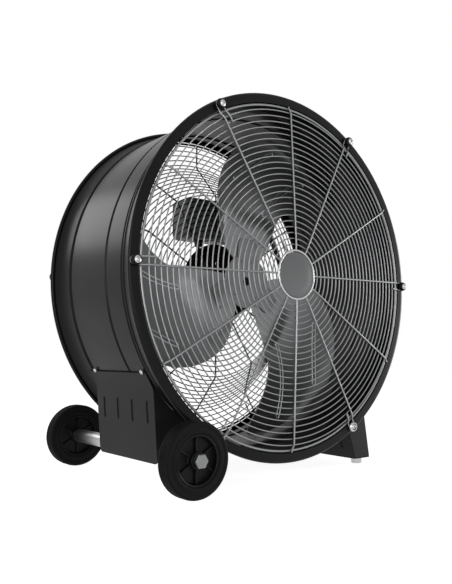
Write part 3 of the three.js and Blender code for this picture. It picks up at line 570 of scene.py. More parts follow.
def cut(piece, tool):
    """Cuts the tool's shape out of a piece and removes the tool."""
    pick(piece)
    modify("BOOLEAN", operation="DIFFERENCE", object=tool, solver="EXACT")
    discard(tool)


def dress(piece, finish):
    """Gives a piece or a carried-over node its finish."""
    piece.data.materials.clear()
    piece.data.materials.append(FINISHES[finish])


def settle(piece, name, finish, *nodes, body="body", slot=None, angle=35):
    """Names and dresses a finished piece, and ties it to the frame."""
    pick(piece)
    bpy.ops.object.transform_apply(location=True, rotation=True, scale=True)
    bpy.ops.object.shade_smooth_by_angle(angle=radians(angle))
    piece.name = name
    piece.data.name = name
    dress(piece, finish)
    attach(piece, body)
    if nodes:
        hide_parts(*nodes)


# ---------------------------------------------------------------- drum

FLARE_STEPS = 14
FLARE_POWER = 2.6
ROLL_STEPS = 11
ROLL_START = 122
ROLL_TURN = 20
RIDGE = 1.4
LIP_RADIUS = 312.6
LIP_SHEET = 2
GROOVE_SHAPE = ((7, 0), (4, 0), (2.6, 0.85), (1.6, 1), (-1.6, 1), (-2.6, 0.85), (-4, 0), (-7, 0))


def bell_outline():
    """Outside of the drum in millimetres, from the groove and the ridge at its bell to the rolled rim."""
    s = sizes()
    body, start, deep = in_mm(s.body_radius, s.flare_depth, s.groove_depth)
    rise = RIM_RADIUS - ROLL_RADIUS - body
    points = [(body, start + 11), (body, start + 7.6), (body - deep, start + 6), (body - deep, start + 1.6),
              (body + RIDGE, start - 0.5), (body + RIDGE, start - 2.2)]
    for i in range(1, FLARE_STEPS):
        share = i / FLARE_STEPS
        points.append((body + rise * share ** FLARE_POWER, start * (1 - share)))
    return points


def rim_outline():
    """Rolled rim, and the flange that runs inwards from it, in millimetres."""
    roll = RIM_RADIUS - ROLL_RADIUS
    points = []
    for i in range(ROLL_STEPS):
        r, y = swing(ROLL_RADIUS, ROLL_START - ROLL_TURN * i)
        points.append((roll + r, y))
    face = 0.2 - ROLL_RADIUS
    back = face + LIP_SHEET
    return points + [(roll - 3, face), (LIP_RADIUS + 0.8, face), (LIP_RADIUS, face + 0.7),
                     (LIP_RADIUS, back - 0.5), (LIP_RADIUS + 0.7, back), (roll - 6, back)]


def drum_section():
    """The whole section of the drum's sheet, in millimetres from the front rim."""
    s = sizes()
    body, wall, place, deep, depth = in_mm(s.body_radius, s.wall, s.groove_at, s.groove_depth, DRUM_DEPTH)
    bell = bell_outline()
    half = bell + rim_outline()
    inner = [(r - wall, y) for r, y in reversed(bell[1:-1])]
    groove = [(body - deep * share, place + y) for y, share in GROOVE_SHAPE]
    inner_groove = [(r - wall, y) for r, y in reversed(groove)]
    return groove + half + inner + inner_groove + mirrored(inner, depth) + mirrored(half, depth)


def make_drum():
    settle(turned(drum_section(), FRONT_RIM_Y, steps=180), "drum", "drum", "drum_shell", angle=40)


# ---------------------------------------------------------------- wire guards

FINE_RINGS = 24
OUTER_RING = 298.5 * MM
RIM_RING = 308.5 * MM
RIM_RING_OUT = 1.6 * MM
LARGE_RING = 150 * MM
SPOKE_PAST_RIM = 3 * MM
SMALL_RING_STEPS = 96
LARGE_RING_STEPS = 160
RIM_RING_STEPS = 180
CLIP_RADIUS = 321 * MM
CLIP_CENTRE = AXIS + Vector((CLIP_RADIUS, 0, 0))
SHORT_LEG_END = 286 * MM
SPOKE_INNER = 42 * MM
GUARD_EDGE = 8.7 * MM
GUARD_RISE = 0.043
REAR_SPOKE_INNER = 73 * MM
REAR_FIRST_RING = 92.7 * MM
REAR_FLAT = 186 * MM
REAR_SLOPE_END = 261 * MM
REAR_SINK = 68.5 * MM
CLIP_WIRE = 5.45 * MM
WELD = 0.15 * MM
BADGE_SEAT = 21.4 * MM
BADGE_SEAT_END = 64 * MM
BEND_STEPS = (-4, -1.5, 1.5, 4)
BEZEL_INSET = 2.4
BEZEL_WIRE = 2.1


def front_ring_y(radius):
    """Middle of a fine ring of the front guard, which bulges forward by a few millimetres."""
    return from_rim(-GUARD_EDGE - GUARD_RISE * (OUTER_RING - radius))


def front_spoke_y(radius):
    """Middle of a radial wire, which lies on the rings and runs from under the badge to the rim."""
    on_rings = front_ring_y(radius) - sizes().ring_wire - sizes().spoke_wire + WELD
    to_rim = clamp((radius - OUTER_RING) / (RIM_RING - OUTER_RING))
    return max(blend(on_rings, from_rim(-CLIP_WIRE), to_rim), from_rim(-BADGE_SEAT))


def rear_spoke_y(radius):
    """Middle of a radial wire of the rear guard, which is dished into the drum."""
    t = clamp((radius - REAR_FLAT) / (REAR_SLOPE_END - REAR_FLAT))
    return from_rim(DRUM_DEPTH + CLIP_WIRE - REAR_SINK * (1 - t))


def rear_ring_y(radius):
    """Middle of a fine ring, which is welded behind the radial wires of the rear guard."""
    return rear_spoke_y(radius) + sizes().ring_wire + sizes().spoke_wire - WELD


def rear_ring_radii():
    """Radii of rings that are spaced evenly along the rear guard's bent radial wires."""
    slope = hypot(REAR_SLOPE_END - REAR_FLAT, REAR_SINK)
    radii = []
    for i in range(FINE_RINGS):
        along = REAR_FIRST_RING + i * sizes().rear_ring_pitch
        if along > REAR_FLAT + slope:
            along -= slope - (REAR_SLOPE_END - REAR_FLAT)
        elif along > REAR_FLAT:
            along = REAR_FLAT + (along - REAR_FLAT) * (REAR_SLOPE_END - REAR_FLAT) / slope
        radii.append(along)
    return radii


def spoke(angle, start, end, height_at, bends, side=None):
    """Points of one radial wire, with a rounded bend at each bend radius."""
    radii = [start]
    for bend in bends:
        radii += [bend + step * MM for step in BEND_STEPS]
    radii = sorted(r for r in radii if start <= r < end) + [end]
    return [polar(r, angle, height_at(r), side(r) if side else 0.0) for r in radii]


def hairpin(angle, start, height_at, bends):
    """A wire from the middle, round a clip's screw and back beside itself."""
    half = sizes().hairpin_half
    long_leg = spoke(angle, start, CLIP_RADIUS, height_at, bends,
                     lambda r: half * (r - start) / (CLIP_RADIUS - start))
    loop = []
    for a in range(75, -76, -15):
        out, side = swing(half, a)
        loop.append(polar(CLIP_RADIUS + out, angle, height_at(CLIP_RADIUS), side))
    short_leg = spoke(angle, SHORT_LEG_END, CLIP_RADIUS, height_at, bends, lambda r: -half)
    return pipe(long_leg + loop + short_leg[::-1], sizes().spoke_wire)


def guard(rings, ring_y, spoke_y, start, bends, rim_y):
    """Welded guard: fine rings, the thick ring at its edge, plain wires and hairpins."""
    s = sizes()
    wires = [ring(RIM_RING, rim_y, s.rim_wire, RIM_RING_STEPS)]
    for r in rings:
        steps = LARGE_RING_STEPS if r > LARGE_RING else SMALL_RING_STEPS
        wires.append(ring(r, ring_y(r), s.ring_wire, steps))
    for angle in PLAIN_SPOKE_ANGLES:
        wires.append(pipe(spoke(angle, start, RIM_RING + SPOKE_PAST_RIM, spoke_y, bends), s.spoke_wire))
    for angle in CLIP_ANGLES:
        wires.append(hairpin(angle, start, spoke_y, bends))
    return join(wires)


def make_front_guard():
    rings = [OUTER_RING - i * sizes().ring_pitch for i in range(FINE_RINGS)]
    wires = guard(rings, front_ring_y, front_spoke_y, SPOKE_INNER, (BADGE_SEAT_END, OUTER_RING, RIM_RING),
                  from_rim(-RIM_RING_OUT))
    settle(wires, "front_guard_wires", "front_wire", "front_guard", angle=60)


def make_rear_guard():
    wires = guard(rear_ring_radii(), rear_ring_y, rear_spoke_y, REAR_SPOKE_INNER,
                  (REAR_FLAT, REAR_SLOPE_END), from_rim(DRUM_DEPTH + RIM_RING_OUT))
    settle(wires, "rear_guard_wires", "rear_wire", "rear_guard", angle=60)


def make_badge():
    radius, deep, front = round_node("guard_badge")
    face = turned([(0, deep), (radius, deep), (radius, 2.2), (radius - 0.7, 1.5), (radius - 2.5, 1.2),
                   (radius - 5, 1.5), (radius - 6, 1.2), (radius * 0.55, 0.45), (radius * 0.25, 0.1),
                   (0, 0)], front, steps=96)
    settle(face, "badge_face", "badge", "guard_badge")
    radius = round_node("badge_ring")[0]
    bezel = ring((radius - BEZEL_INSET) * MM, middle("badge_ring").y, BEZEL_WIRE * MM, 96)
    settle(bezel, "badge_bezel", "zinc", "badge_ring", angle=60)


# ---------------------------------------------------------------- guard clips

HEAD_HEIGHT = 3.2
CAP_SCREW_SEAT = 6.5 * MM
CUP_SCREW_SEAT = 1.1 * MM
REAR_HEAD = 4.6 * MM
REAR_FLANGE = 1.4


def domed_screw(under, way):
    """Flanged screw with a domed head and a cross recess, at the clip circle's angle 0."""
    screw = turned([(0, -4), (2, -4), (2, 0), (5.6, 0), (5.6, 0.5), (4.5, 0.9), (4.2, 1.2), (3.864, 2),
                    (2.94, 2.7), (1.68, 3.1), (0, HEAD_HEIGHT)], under, CLIP_CENTRE, 32, way)
    top = CLIP_CENTRE + Vector((0, under + way * HEAD_HEIGHT * MM, 0))
    for size in ((4.6, 2.4, 0.9), (0.9, 2.4, 4.6)):
        deselect()
        bpy.ops.mesh.primitive_cube_add(size=1, location=top, scale=Vector(size) * MM)
        bpy.ops.object.transform_apply()
        cut(screw, bpy.context.object)
    return screw


def make_clips():
    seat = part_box("front_clip_washer_1")[1].y
    rear_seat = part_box("rear_clip_screw_1")[1].y - REAR_HEAD
    cap = turned([(2.4, 0), (9, 0), (9.2, 0.4), (9.2, 2.2), (8.9, 4.2), (8.2, 5.8), (7.2, 6.7), (6.2, 7),
                  (5.6, 6.8), (5.4, 6.2), (2.4, 6.2)], seat, CLIP_CENTRE, 48, -1)
    cup = turned([(2.4, 0), (9.2, 0), (9.4, 0.3), (9.2, 1), (8.2, 2.6), (7.4, 3.9), (6.8, 4.2), (6.2, 3.8),
                  (5.9, 0.8), (2.4, 0.8)], seat, CLIP_CENTRE, 48, -1)
    flange = turned([(2.2, 0), (8.6, 0), (8.8, 0.3), (8.6, 0.8), (6.8, REAR_FLANGE), (2.2, REAR_FLANGE)],
                    rear_seat, CLIP_CENTRE, 48)
    cap_screw = domed_screw(seat - CAP_SCREW_SEAT, -1)
    cup_screw = domed_screw(seat - CUP_SCREW_SEAT, -1)
    rear = join([flange, domed_screw(rear_seat + REAR_FLANGE * MM, 1)])
    for i, angle in enumerate(CLIP_ANGLES, 1):
        washer, screw, finish = cap, cap_screw, "plastic"
        if angle in CUP_CLIPS:
            washer, screw, finish = cup, cup_screw, "zinc"
        settle(copy_round(washer, angle), f"clip_washer_{i}", finish, f"front_clip_washer_{i}")
        settle(copy_round(screw, angle), f"clip_screw_{i}", "zinc", f"front_clip_screw_{i}")
        settle(copy_round(rear, angle), f"rear_fastener_{i}", "zinc", f"rear_clip_screw_{i}")
    discard(cap, cup, cap_screw, cup_screw, rear)


# ---------------------------------------------------------------- rotor

BLADE_ROOT = 36
BLADE_TIP = 305
BLADE_ROWS = 110
BLADE_COLUMNS = 84
FIRST_BLADE = 195
STATIONS = (36, 70, 105, 140, 175, 210, 240, 265, 285, 298, 305)
FRONT_EDGE = (46, 52, 51.5, 47.8, 42.3, 35.2, 27.5, 19.5, 11, 2, -9)
REAR_EDGE = (-30, -26, -23.5, -21.6, -21.7, -26.5, -32.5, -37.5, -40.5, -40, -33)
CAMBER_BLEND = 60
FRONT_DEPTH = 102
FRONT_BOW = 14.5
FRONT_BOW_RADIUS = 165
REAR_DEPTH = 120
REAR_RISE = 0.075
REAR_RISE_START = 40
RIBS = (((153, -7.5), (196, -12), (240, -17.5), (285, -24)), ((203, 22.5), (226, 13), (250, 6), (280, -1)))
RIB_STEPS = 14
RIB_END_TURNS = range(30, 151, 30)
RIB_HALF = 3.6
RIB_BEAD = 1.1 * MM
RIB_LIFT = 0.3 * MM
HUB_FRONT = 115.5
HUB_SHEET = 3
HUB_BORE = 8.3
ARM_ANGLE = 12
ARM_START = 20
ARM_REACH = 84
ARM_WIDTH = 46
ARM_CORNER = 14
ARM_SINK = 0.1
ARM_TURNS = [FIRST_BLADE + ARM_ANGLE + a for a in BLADE_ANGLES]
PAD_HALF = 44
PAD_REACH = 98
PAD_BLEND = 48
PAD_GAP = 0.3
RIVETS = ((38, 0, 12), (38, 0, -12), (72, 0, 0))


def blade_edges(r):
    """Angles of a blade's front and rear edges at a radius in millimetres."""
    return through(r, STATIONS, FRONT_EDGE), through(r, STATIONS, REAR_EDGE)


def blade_point(r, across):
    """Point on a blade's front face at a radius in millimetres, across from its front to its rear edge."""
    angle = blend(*blade_edges(r), across)
    camber = sizes().blade_camber / MM * min(1.0, (r - BLADE_ROOT) / CAMBER_BLEND)
    front_y = FRONT_DEPTH + FRONT_BOW * (r / FRONT_BOW_RADIUS - 1) ** 2
    rear_y = REAR_DEPTH + REAR_RISE * (r - REAR_RISE_START)
    y = blend(front_y, rear_y, across) + camber * 4 * across * (1 - across)
    out, side = swing(r, angle - ARM_ANGLE)
    off_pad = hypot(max(0.0, abs(side) - PAD_HALF), max(0.0, out - PAD_REACH))
    y = blend(HUB_FRONT + HUB_SHEET + PAD_GAP, y, ease(off_pad, 0.0, PAD_BLEND))
    return polar(r * MM, FIRST_BLADE + angle, from_rim(y * MM))


def on_blade(place):
    """Point of the blade's front face that lies over a flat place in millimetres."""
    front, rear = blade_edges(place.length)
    return blade_point(place.length, (degrees(atan2(place.y, place.x)) - front) / (rear - front))


def rib_outline(stops):
    """Raised edge round a long rib that is pressed into the blade."""
    radii, angles = zip(*stops)
    flat = []
    for i in range(RIB_STEPS + 1):
        r = blend(radii[0], radii[-1], i / RIB_STEPS)
        flat.append(Vector(swing(r, through(r, radii, angles))))

    def beside(i, angle):
        """Place on the edge, at an angle from the left of the middle line's point i."""
        way = (flat[min(i + 1, RIB_STEPS)] - flat[max(i - 1, 0)]).normalized()
        left, ahead = swing(RIB_HALF, angle)
        return flat[i] + Vector((-way.y, way.x)) * left + way * ahead

    loop = [beside(i, 0) for i in range(RIB_STEPS + 1)]
    loop += [beside(RIB_STEPS, a) for a in RIB_END_TURNS]
    loop += [beside(i, 180) for i in range(RIB_STEPS, -1, -1)]
    loop += [beside(0, 180 + a) for a in RIB_END_TURNS]
    return pipe([on_blade(p) - Vector((0, RIB_LIFT, 0)) for p in loop], RIB_BEAD, closed=True, sides=2)


def make_blades():
    deselect()
    bpy.ops.mesh.primitive_grid_add(x_subdivisions=BLADE_ROWS, y_subdivisions=BLADE_COLUMNS, size=1)
    blade = bpy.context.object
    for vertex in blade.data.vertices:
        along, across = clamp(vertex.co.x + 0.5), clamp(vertex.co.y + 0.5)
        vertex.co = blade_point(blend(BLADE_ROOT, BLADE_TIP, along), across)
    bpy.ops.object.mode_set(mode="EDIT")
    tidy_mesh()
    faces = blade.data.polygons
    behind = -1 if faces[len(faces) // 2].normal.y < 0 else 1
    modify("SOLIDIFY", thickness=sizes().blade_sheet, offset=behind)
    round_edges(0.5, 2, 60)
    ribs = join([rib_outline(stops) for stops in RIBS])
    for i, angle in enumerate(BLADE_ANGLES, 1):
        settle(copy_round(blade, angle), f"fan_blade_{i}", "blade", f"blade_{i}", body="rotor")
        # The rib edges carry the brightened rib finish: a painted highlight.
        settle(copy_round(ribs, angle), f"blade_ribs_{i}", "rib", body="rotor")
    discard(blade, ribs)


def make_hub():
    front = from_rim(HUB_FRONT * MM)
    hub = turned([(HUB_BORE, 0.4), (HUB_BORE + 0.5, 0), (51, 0), (52, 0.8), (52, HUB_SHEET), (17, HUB_SHEET),
                  (17, 23), (16, 24), (HUB_BORE, 24)], front, steps=96)
    half = ARM_WIDTH / 2
    outline = [(ARM_START, -half)]
    for a in range(-90, 91, 15):
        out, side = swing(ARM_CORNER, a)
        corner_z = (half - ARM_CORNER) * (-1 if a < 0 else 1)
        outline.append((ARM_REACH - ARM_CORNER + out, corner_z + side))
    outline.append((ARM_START, half))
    arm = slab([at(x, HUB_FRONT + ARM_SINK, z) for x, z in outline], (0, HUB_SHEET - 2 * ARM_SINK, 0))
    round_edges(0.5)
    settle(join([hub, copies_round(arm, ARM_TURNS)]), "hub_spider", "hub", "hub_plate", body="rotor")
    rivet = turned([(0, 0), (3, 0), (2.7, 0.7), (1.6, 1.2), (0, 1.4)], front, steps=24, way=-1)
    rivets = [copies_round(moved(rivet, Vector(place) * MM), ARM_TURNS) for place in RIVETS]
    discard(rivet)
    settle(join(rivets), "blade_rivets", "hub", body="rotor", slot="zinc")
    # The steel shaft is given the black motor paint: painted shade for its shadowed bore.
    dress(NODES["motor_shaft"], "motor")
    dress(NODES["hub_set_screw"], "zinc")


# ---------------------------------------------------------------- motor and control box

SHAFT_HOLE = 8.5
HOUSING_BOLT_RADIUS = 51
PLATE_BOLT_RADIUS = 52
BOX_CORNER = 12 * MM
LID_SCREW_INSET = 11 * MM
KNOB_GRIP = ((-2.2, -11), (2.2, -11), (2.2, 14), (-2.2, 14))
KNOB_FLUTES = 15


def hexagon(across, centre, base, height, way=1, washer=0):
    """Six-sided bolt head or nut along Y, with a chamfered face and, if asked, a round flange."""
    head = turned([(0, 0), (across, 0), (across, height - 1.3), (across - 1, height), (0, height)],
                  base, centre, 6, way)
    if not washer:
        return head
    flange = turned([(0, 0), (washer, 0), (washer + 0.3, 0.4), (washer - 0.3, 1), (0, 1)],
                    base, centre, 32, way)
    return join([head, flange])


def make_motor():
    radius, deep, start = round_node("motor_housing")
    bell = turned([(SHAFT_HOLE, 0), (21, 0), (23, 0.7), (24, 2.2), (24, 6), (26, 7), (radius * 0.62, 8),
                   (radius * 0.88, 11), (radius - 2, 15), (radius, 21), (radius, deep - 2),
                   (radius - 0.8, deep - 1), (radius - 0.8, deep), (SHAFT_HOLE, deep)], start, steps=96)
    fin = web(((30, 7.5), (40, 8), (58, 11), (64, 15), (65.4, 21), (65.4, 27), (30, 27)), start, 2)
    fins = copies_round(fin, range(15, 360, 30))
    settle(join([bell, fins]), "motor_bell", "motor", "motor_housing")
    bolt_place = AXIS + Vector((HOUSING_BOLT_RADIUS * MM, 0, 0))
    bolt = hexagon(3.6, bolt_place, start + 10.4 * MM, 4, -1, washer=4.2)
    settle(copies_round(bolt, range(45, 360, 90)), "motor_bolts", "zinc")

    radius, deep, start = round_node("motor_rear_cover")
    cover = turned([(0, 0), (radius - 6, 0), (radius - 5, 0.8), (radius - 5, deep - 9.5),
                    (radius - 4, deep - 8.6), (radius - 1, deep - 7.6), (radius, deep - 6),
                    (radius, deep - 1), (radius - 0.6, deep), (0, deep)], start, steps=96)
    settle(cover, "motor_cover", "motor", "motor_rear_cover")

    radius, deep, start = round_node("motor_mount_plate")
    plate = turned([(0, 0), (radius - 1.5, 0), (radius, 1), (radius, deep - 0.5), (radius - 0.5, deep),
                    (0, deep)], start, steps=96)
    settle(plate, "mount_plate", "motor", "motor_mount_plate")
    bolt_place = AXIS + Vector((PLATE_BOLT_RADIUS * MM, 0, 0))
    bolt = hexagon(5, bolt_place, start + deep * MM, 5, washer=6)
    settle(copies_round(bolt, range(0, 360, 90)), "mount_bolts", "zinc")
    make_lead()


def make_lead():
    """Lead from the gland down and forward to the mount plate."""
    low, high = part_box("motor_lead")
    wire = (high.x - low.x) / 2
    route = [(high.y - wire + y * MM, high.z + z * MM) for y, z in ((0, 0), (0, -22), (-4, -32), (-13, -38))]
    route.append((low.y, low.z + wire))
    knots = range(len(route))
    points = []
    for step in range(4 * knots[-1] + 1):
        y, z = (through(step / 4, knots, track) for track in zip(*route))
        points.append((low.x + wire, y, z))
    settle(pipe(points, wire, sides=5), "lead", "plastic", "motor_lead")


def rounded_plate(node, edge):
    """Plate that fills a node's box, with round corners and edges."""
    low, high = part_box(node)
    outline = []
    for turn in (0, 90, 180, 270):
        x = high.x - BOX_CORNER if turn in (0, 270) else low.x + BOX_CORNER
        z = high.z - BOX_CORNER if turn < 180 else low.z + BOX_CORNER
        for a in range(turn, turn + 91, 15):
            out, up = swing(BOX_CORNER, a)
            outline.append(Vector((x + out, low.y, z + up)))
    plate = slab(outline, (0, (high.y - low.y) / MM, 0))
    round_edges(edge, 3)
    return plate


def make_knob():
    """Fluted knob with a pointer across its face."""
    centre = on_axis("speed_knob")
    radius, deep, start = round_node("speed_knob")
    top = deep - 2.5
    knob = turned([(0, 0), (radius - 0.5, 0), (radius, 0.6), (radius, 2.2), (radius - 1, 3.4),
                   (radius - 3, 4.6), (radius - 4, top - 2), (radius - 4.8, top - 0.6), (radius - 6, top),
                   (0, top)], start, centre, 72)
    flute_place = centre + Vector(((radius - 3.2) * MM, 0, 0))
    flute = turned([(0, 5), (1.6, 5), (1.6, top + 1), (0, top + 1)], start, flute_place, 12)
    cut(knob, copies_round(flute, [12 + 360 / KNOB_FLUTES * i for i in range(KNOB_FLUTES)], centre))
    foot = start + (top - 1) * MM
    grip = slab([centre + Vector((x * MM, foot, z * MM)) for x, z in KNOB_GRIP], (0, 3.4, 0))
    round_edges(0.7)
    settle(join([knob, grip]), "knob_cap", "plastic", "speed_knob", body="knob")
    dress(NODES["knob_spindle"], "zinc")


def make_gland():
    """Gland under the control box, with a domed cap."""
    radius, tall, base = round_node("motor_lead_gland", "z")
    gland = turned([(3, tall), (6.5, tall), (6.5, 14), (radius, 13.6), (radius, 7), (radius - 0.6, 6),
                    (radius - 1, 2), (radius - 2.5, 0), (3, 0)], base, middle("motor_lead_gland"), 48,
                   upright=True)
    settle(gland, "lead_gland", "plastic", "motor_lead_gland")


def make_control_box():
    settle(rounded_plate("control_box", 1.5), "switch_box", "box", "control_box", "speed_switch")
    settle(rounded_plate("control_box_lid", 1), "switch_box_lid", "box", "control_box_lid")
    low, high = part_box("control_box_lid")
    screw = turned([(0, -1), (3.4, -1), (3.4, 0.6), (2.6, 1.7), (0, 2.1)], high.y, Vector((0, 0, 0)), 24)
    screws = []
    for x in (low.x + LID_SCREW_INSET, high.x - LID_SCREW_INSET):
        for z in (low.z + LID_SCREW_INSET, high.z - LID_SCREW_INSET):
            screws.append(moved(screw, (x, 0, z)))
    discard(screw)
    settle(join(screws), "lid_screws", "zinc")
    make_knob()
    make_gland()


# ---------------------------------------------------------------- wheels

TREAD_RADIUS = 59
TREAD_GROOVES = 5
TREAD_DEPTH = 1.2
TUBE_WALL = 3
TYRE_SIDE = [(40, 0.6), (41, 0), (46, 0), (47.5, 0.5), (52, 0.5), (53.5, 0), (56, 0.1), (57.6, 0.7),
             (58.5, 1.7), (58.9, 3)]
WHEEL_SIDE = [(6.6, 0.4), (7, 0), (12.2, 0), (13, 0.8), (13, 8.6), (14.2, 9.8), (34, 9.8), (34.9, 8.6),
              (35.5, 7), (35.6, 3), (35.9, 1.6), (36.8, 0.7), (38, 0.4), (39.1, 0.9), (39.7, 2.2)]
WHEEL_RIB = ((12.5, 4), (24, 6.2), (36.5, 4.5), (36.5, 19.5), (24, 17.8), (12.5, 20))


def wheel_tyre(start, width):
    """Solid rubber tyre with a rounded tread and fine grooves round it."""
    tread = []
    for i in range(TREAD_GROOVES):
        y = width * (i + 1.5) / (TREAD_GROOVES + 2)
        tread += [(TREAD_RADIUS, y - 1.1), (TREAD_RADIUS - TREAD_DEPTH, y - 0.6),
                  (TREAD_RADIUS - TREAD_DEPTH, y + 0.6), (TREAD_RADIUS, y + 1.1)]
    return turned(TYRE_SIDE + tread + mirrored(TYRE_SIDE, width), start, AXLE, 120)


def wheel_centre(start, width):
    """Moulded wheel centre: rim, recessed disc, ribs and boss."""
    centre = turned(WHEEL_SIDE + mirrored(WHEEL_SIDE, width), start, AXLE, 96)
    rib = web(WHEEL_RIB, start, 3, AXLE)
    round_edges(0.5)
    return join([centre, copies_round(rib, range(30, 390, 60), AXLE)])


def bar(node, wall, steps):
    """Tube about the axle with a wall in millimetres, or a solid bar where it is None, with broken edges."""
    radius, long, start = round_node(node)
    bore = 0 if wall is None else radius - wall
    end = [(bore, 0), (radius - 0.6, 0), (radius, 0.6)]
    return turned(end + mirrored(end, long), start, AXLE, steps)


def make_wheels():
    for side, way in (("front", -1), ("rear", 1)):
        width, start = round_node(f"{side}_tyre")[1:]
        body = f"{side}_wheel"
        settle(wheel_tyre(start, width), f"{side}_tyre_tread", "rubber", f"{side}_tyre", body=body)
        settle(wheel_centre(start, width), f"{side}_wheel_centre", "plastic", f"{side}_wheel_hub", body=body)
        radius, height, start = round_node(f"{side}_axle_nut")
        seat = start if way > 0 else start + height * MM
        settle(hexagon(radius, AXLE, seat, height, way), f"{side}_nut", "nut", f"{side}_axle_nut", angle=25)
    settle(bar("axle_tube", TUBE_WALL, 64), "axle_sleeve", "tube", "axle_tube")
    settle(bar("axle_rod", None, 48), "axle_bar", "zinc", "axle_rod")


# ---------------------------------------------------------------- stand

SHEET = 2.5
SADDLE = DRUM_BODY + 0.3
SLOT_COUNT = 4
SLOT_LENGTH = 36.7
SLOT_WIDTH = 6.5
SLOT_TOOL = (-4, 1.6)
BRACKET_TOP = 212.7
BRACKET_FOLD = (318.77, 218.17)
BRACKET_SADDLE = (237, 219)
BRACKET_LEAN = 9.1
BRACKET_SLOT_DROP = 18.5
BRACKET_SLOT_SHIFT = 0.45
BRACKET_CORNER = 9
BRACKET_REACH = 19
BRACKET_TAB = (228.3, 236.3)
BRACKET_BOLTS = ((212.3, 9), (212.3, -25), (232.3, 11), (232.3, -11))
LEG_TOP = (-54.9, -42.3)
LEG_INNER = 209.8
LEG_SLOT_RISE = 20
LEG_SLOT_SHIFT = 0.5
LEG_TAB_ANGLE = 9
LEG_BOLT_ANGLE = 6
FOOT_PAD = 11


def fan_place(corner):
    """A corner of a node's box in millimetres from the fan axis and the front rim."""
    return in_mm(corner.x, corner.y - FRONT_RIM_Y, corner.z - AXIS_Z)


def sheet_between(points, y0, y1):
    """Folded sheet: an outline in the plane of the guard, run along Y."""
    return slab([at(x, y0, z) for x, z in points], (0, y1 - y0, 0))


def soften(piece):
    """Rounds a sheet's edges."""
    pick(piece)
    round_edges(sizes().edge_round / MM)
    return piece


def press_slots(sheet, start, end, shift, x, z, lean):
    """Presses a row of long shallow grooves into a sheet that leans."""
    half, run = SLOT_WIDTH / 2, (SLOT_LENGTH - SLOT_WIDTH) / 2
    for i in range(SLOT_COUNT):
        y = start + (end - start) / SLOT_COUNT * (i + shift)
        outline = []
        for side in (1, -1):
            for a in range(-90, 91, 18):
                up, along = swing(half, a)
                outline.append(at(x + SLOT_TOOL[0], y - side * along, z + side * (run + up)))
        tool = slab(outline, (SLOT_TOOL[1] - SLOT_TOOL[0], 0, 0))
        cut(sheet, turn_mesh(tool, lean, at(x, y, z)))


def drum_tab(start, end, y0, y1):
    """Fixing tab that lies on the drum."""
    return soften(sheet_between(arc(SADDLE, start, end, 1) + arc(SADDLE + SHEET, end, start, 1), y0, y1))


def drum_bolt(angle, y):
    """Bright pan-head screw on the drum's skin."""
    screw = turned([(0, 0.2), (3.9, 0.2), (4.1, 0.6), (3.6, 1.8), (2, 2.6), (0, 2.8)], 0,
                   Vector((0, 0, 0)), 24)
    screw.data.transform(Matrix.Translation(at(SADDLE + SHEET, y, 0)) @ Matrix.Rotation(-pi / 2, 4, "Z"))
    return turn_mesh(screw, -radians(angle), AXIS)


def make_bracket():
    (outer_x, front, bottom), (_, rear, _) = map(fan_place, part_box("wheel_bracket"))
    fold = Vector(swing(*BRACKET_FOLD))
    foot = Vector((fold.x + BRACKET_LEAN, bottom))
    lip = Vector(swing(SADDLE + SHEET, BRACKET_TOP))
    to_foot, to_lip = (foot - fold).normalized(), (lip - fold).normalized()
    outer = [lip, fold + to_lip * 5, fold + (to_lip * 1.6 + to_foot * 1.6), fold + to_foot * 5, foot]
    inner = [lip * (SADDLE / (SADDLE + SHEET))] + [p + Vector((SHEET, 0)) for p in outer[1:]]
    skin = sheet_between(outer + inner[::-1], front, rear)
    lean = atan2(BRACKET_LEAN, fold.y - bottom)
    drop = BRACKET_SLOT_DROP + SLOT_LENGTH / 2
    press_slots(skin, front, rear, BRACKET_SLOT_SHIFT, fold.x + drop * tan(lean), fold.y - drop, -lean)
    corner = [(-2, -2), (BRACKET_CORNER, -2)]
    for a in range(0, 91, 10):
        up, along = swing(BRACKET_CORNER, a)
        corner.append((BRACKET_CORNER - along, BRACKET_CORNER - up))
    corner.append((-2, BRACKET_CORNER))
    for edge, way in ((front, 1), (rear, -1)):
        outline = [at(outer_x - 5, edge + way * y, bottom + z) for y, z in corner]
        cut(skin, slab(outline, (40, 0, 0)))
    reach = fan_place(AXLE)[0] + BRACKET_REACH
    wall = [(fold.x + 1, fold.y), (foot.x + 1, bottom + 6), (foot.x + 2.5, bottom + 2), (foot.x + 7, bottom),
            (reach - 8, bottom), (reach - 2, bottom + 2), (reach, bottom + 8)]
    wall += arc(DRUM_BODY + 1, *BRACKET_SADDLE, 2)
    pieces = [soften(skin)]
    for y in (front + 0.1, rear - SHEET - 0.1):
        pieces.append(soften(sheet_between(wall, y, y + SHEET)))
    for y0, y1 in ((front + 1, front + 18), (rear - 18, rear - 1)):
        pieces.append(drum_tab(*BRACKET_TAB, y0, y1))
    settle(join(pieces), "bracket", "stand", "wheel_bracket", angle=12)
    bolts = [drum_bolt(angle, (front if run > 0 else rear) + run) for angle, run in BRACKET_BOLTS]
    settle(join(bolts), "bracket_screws", "zinc")


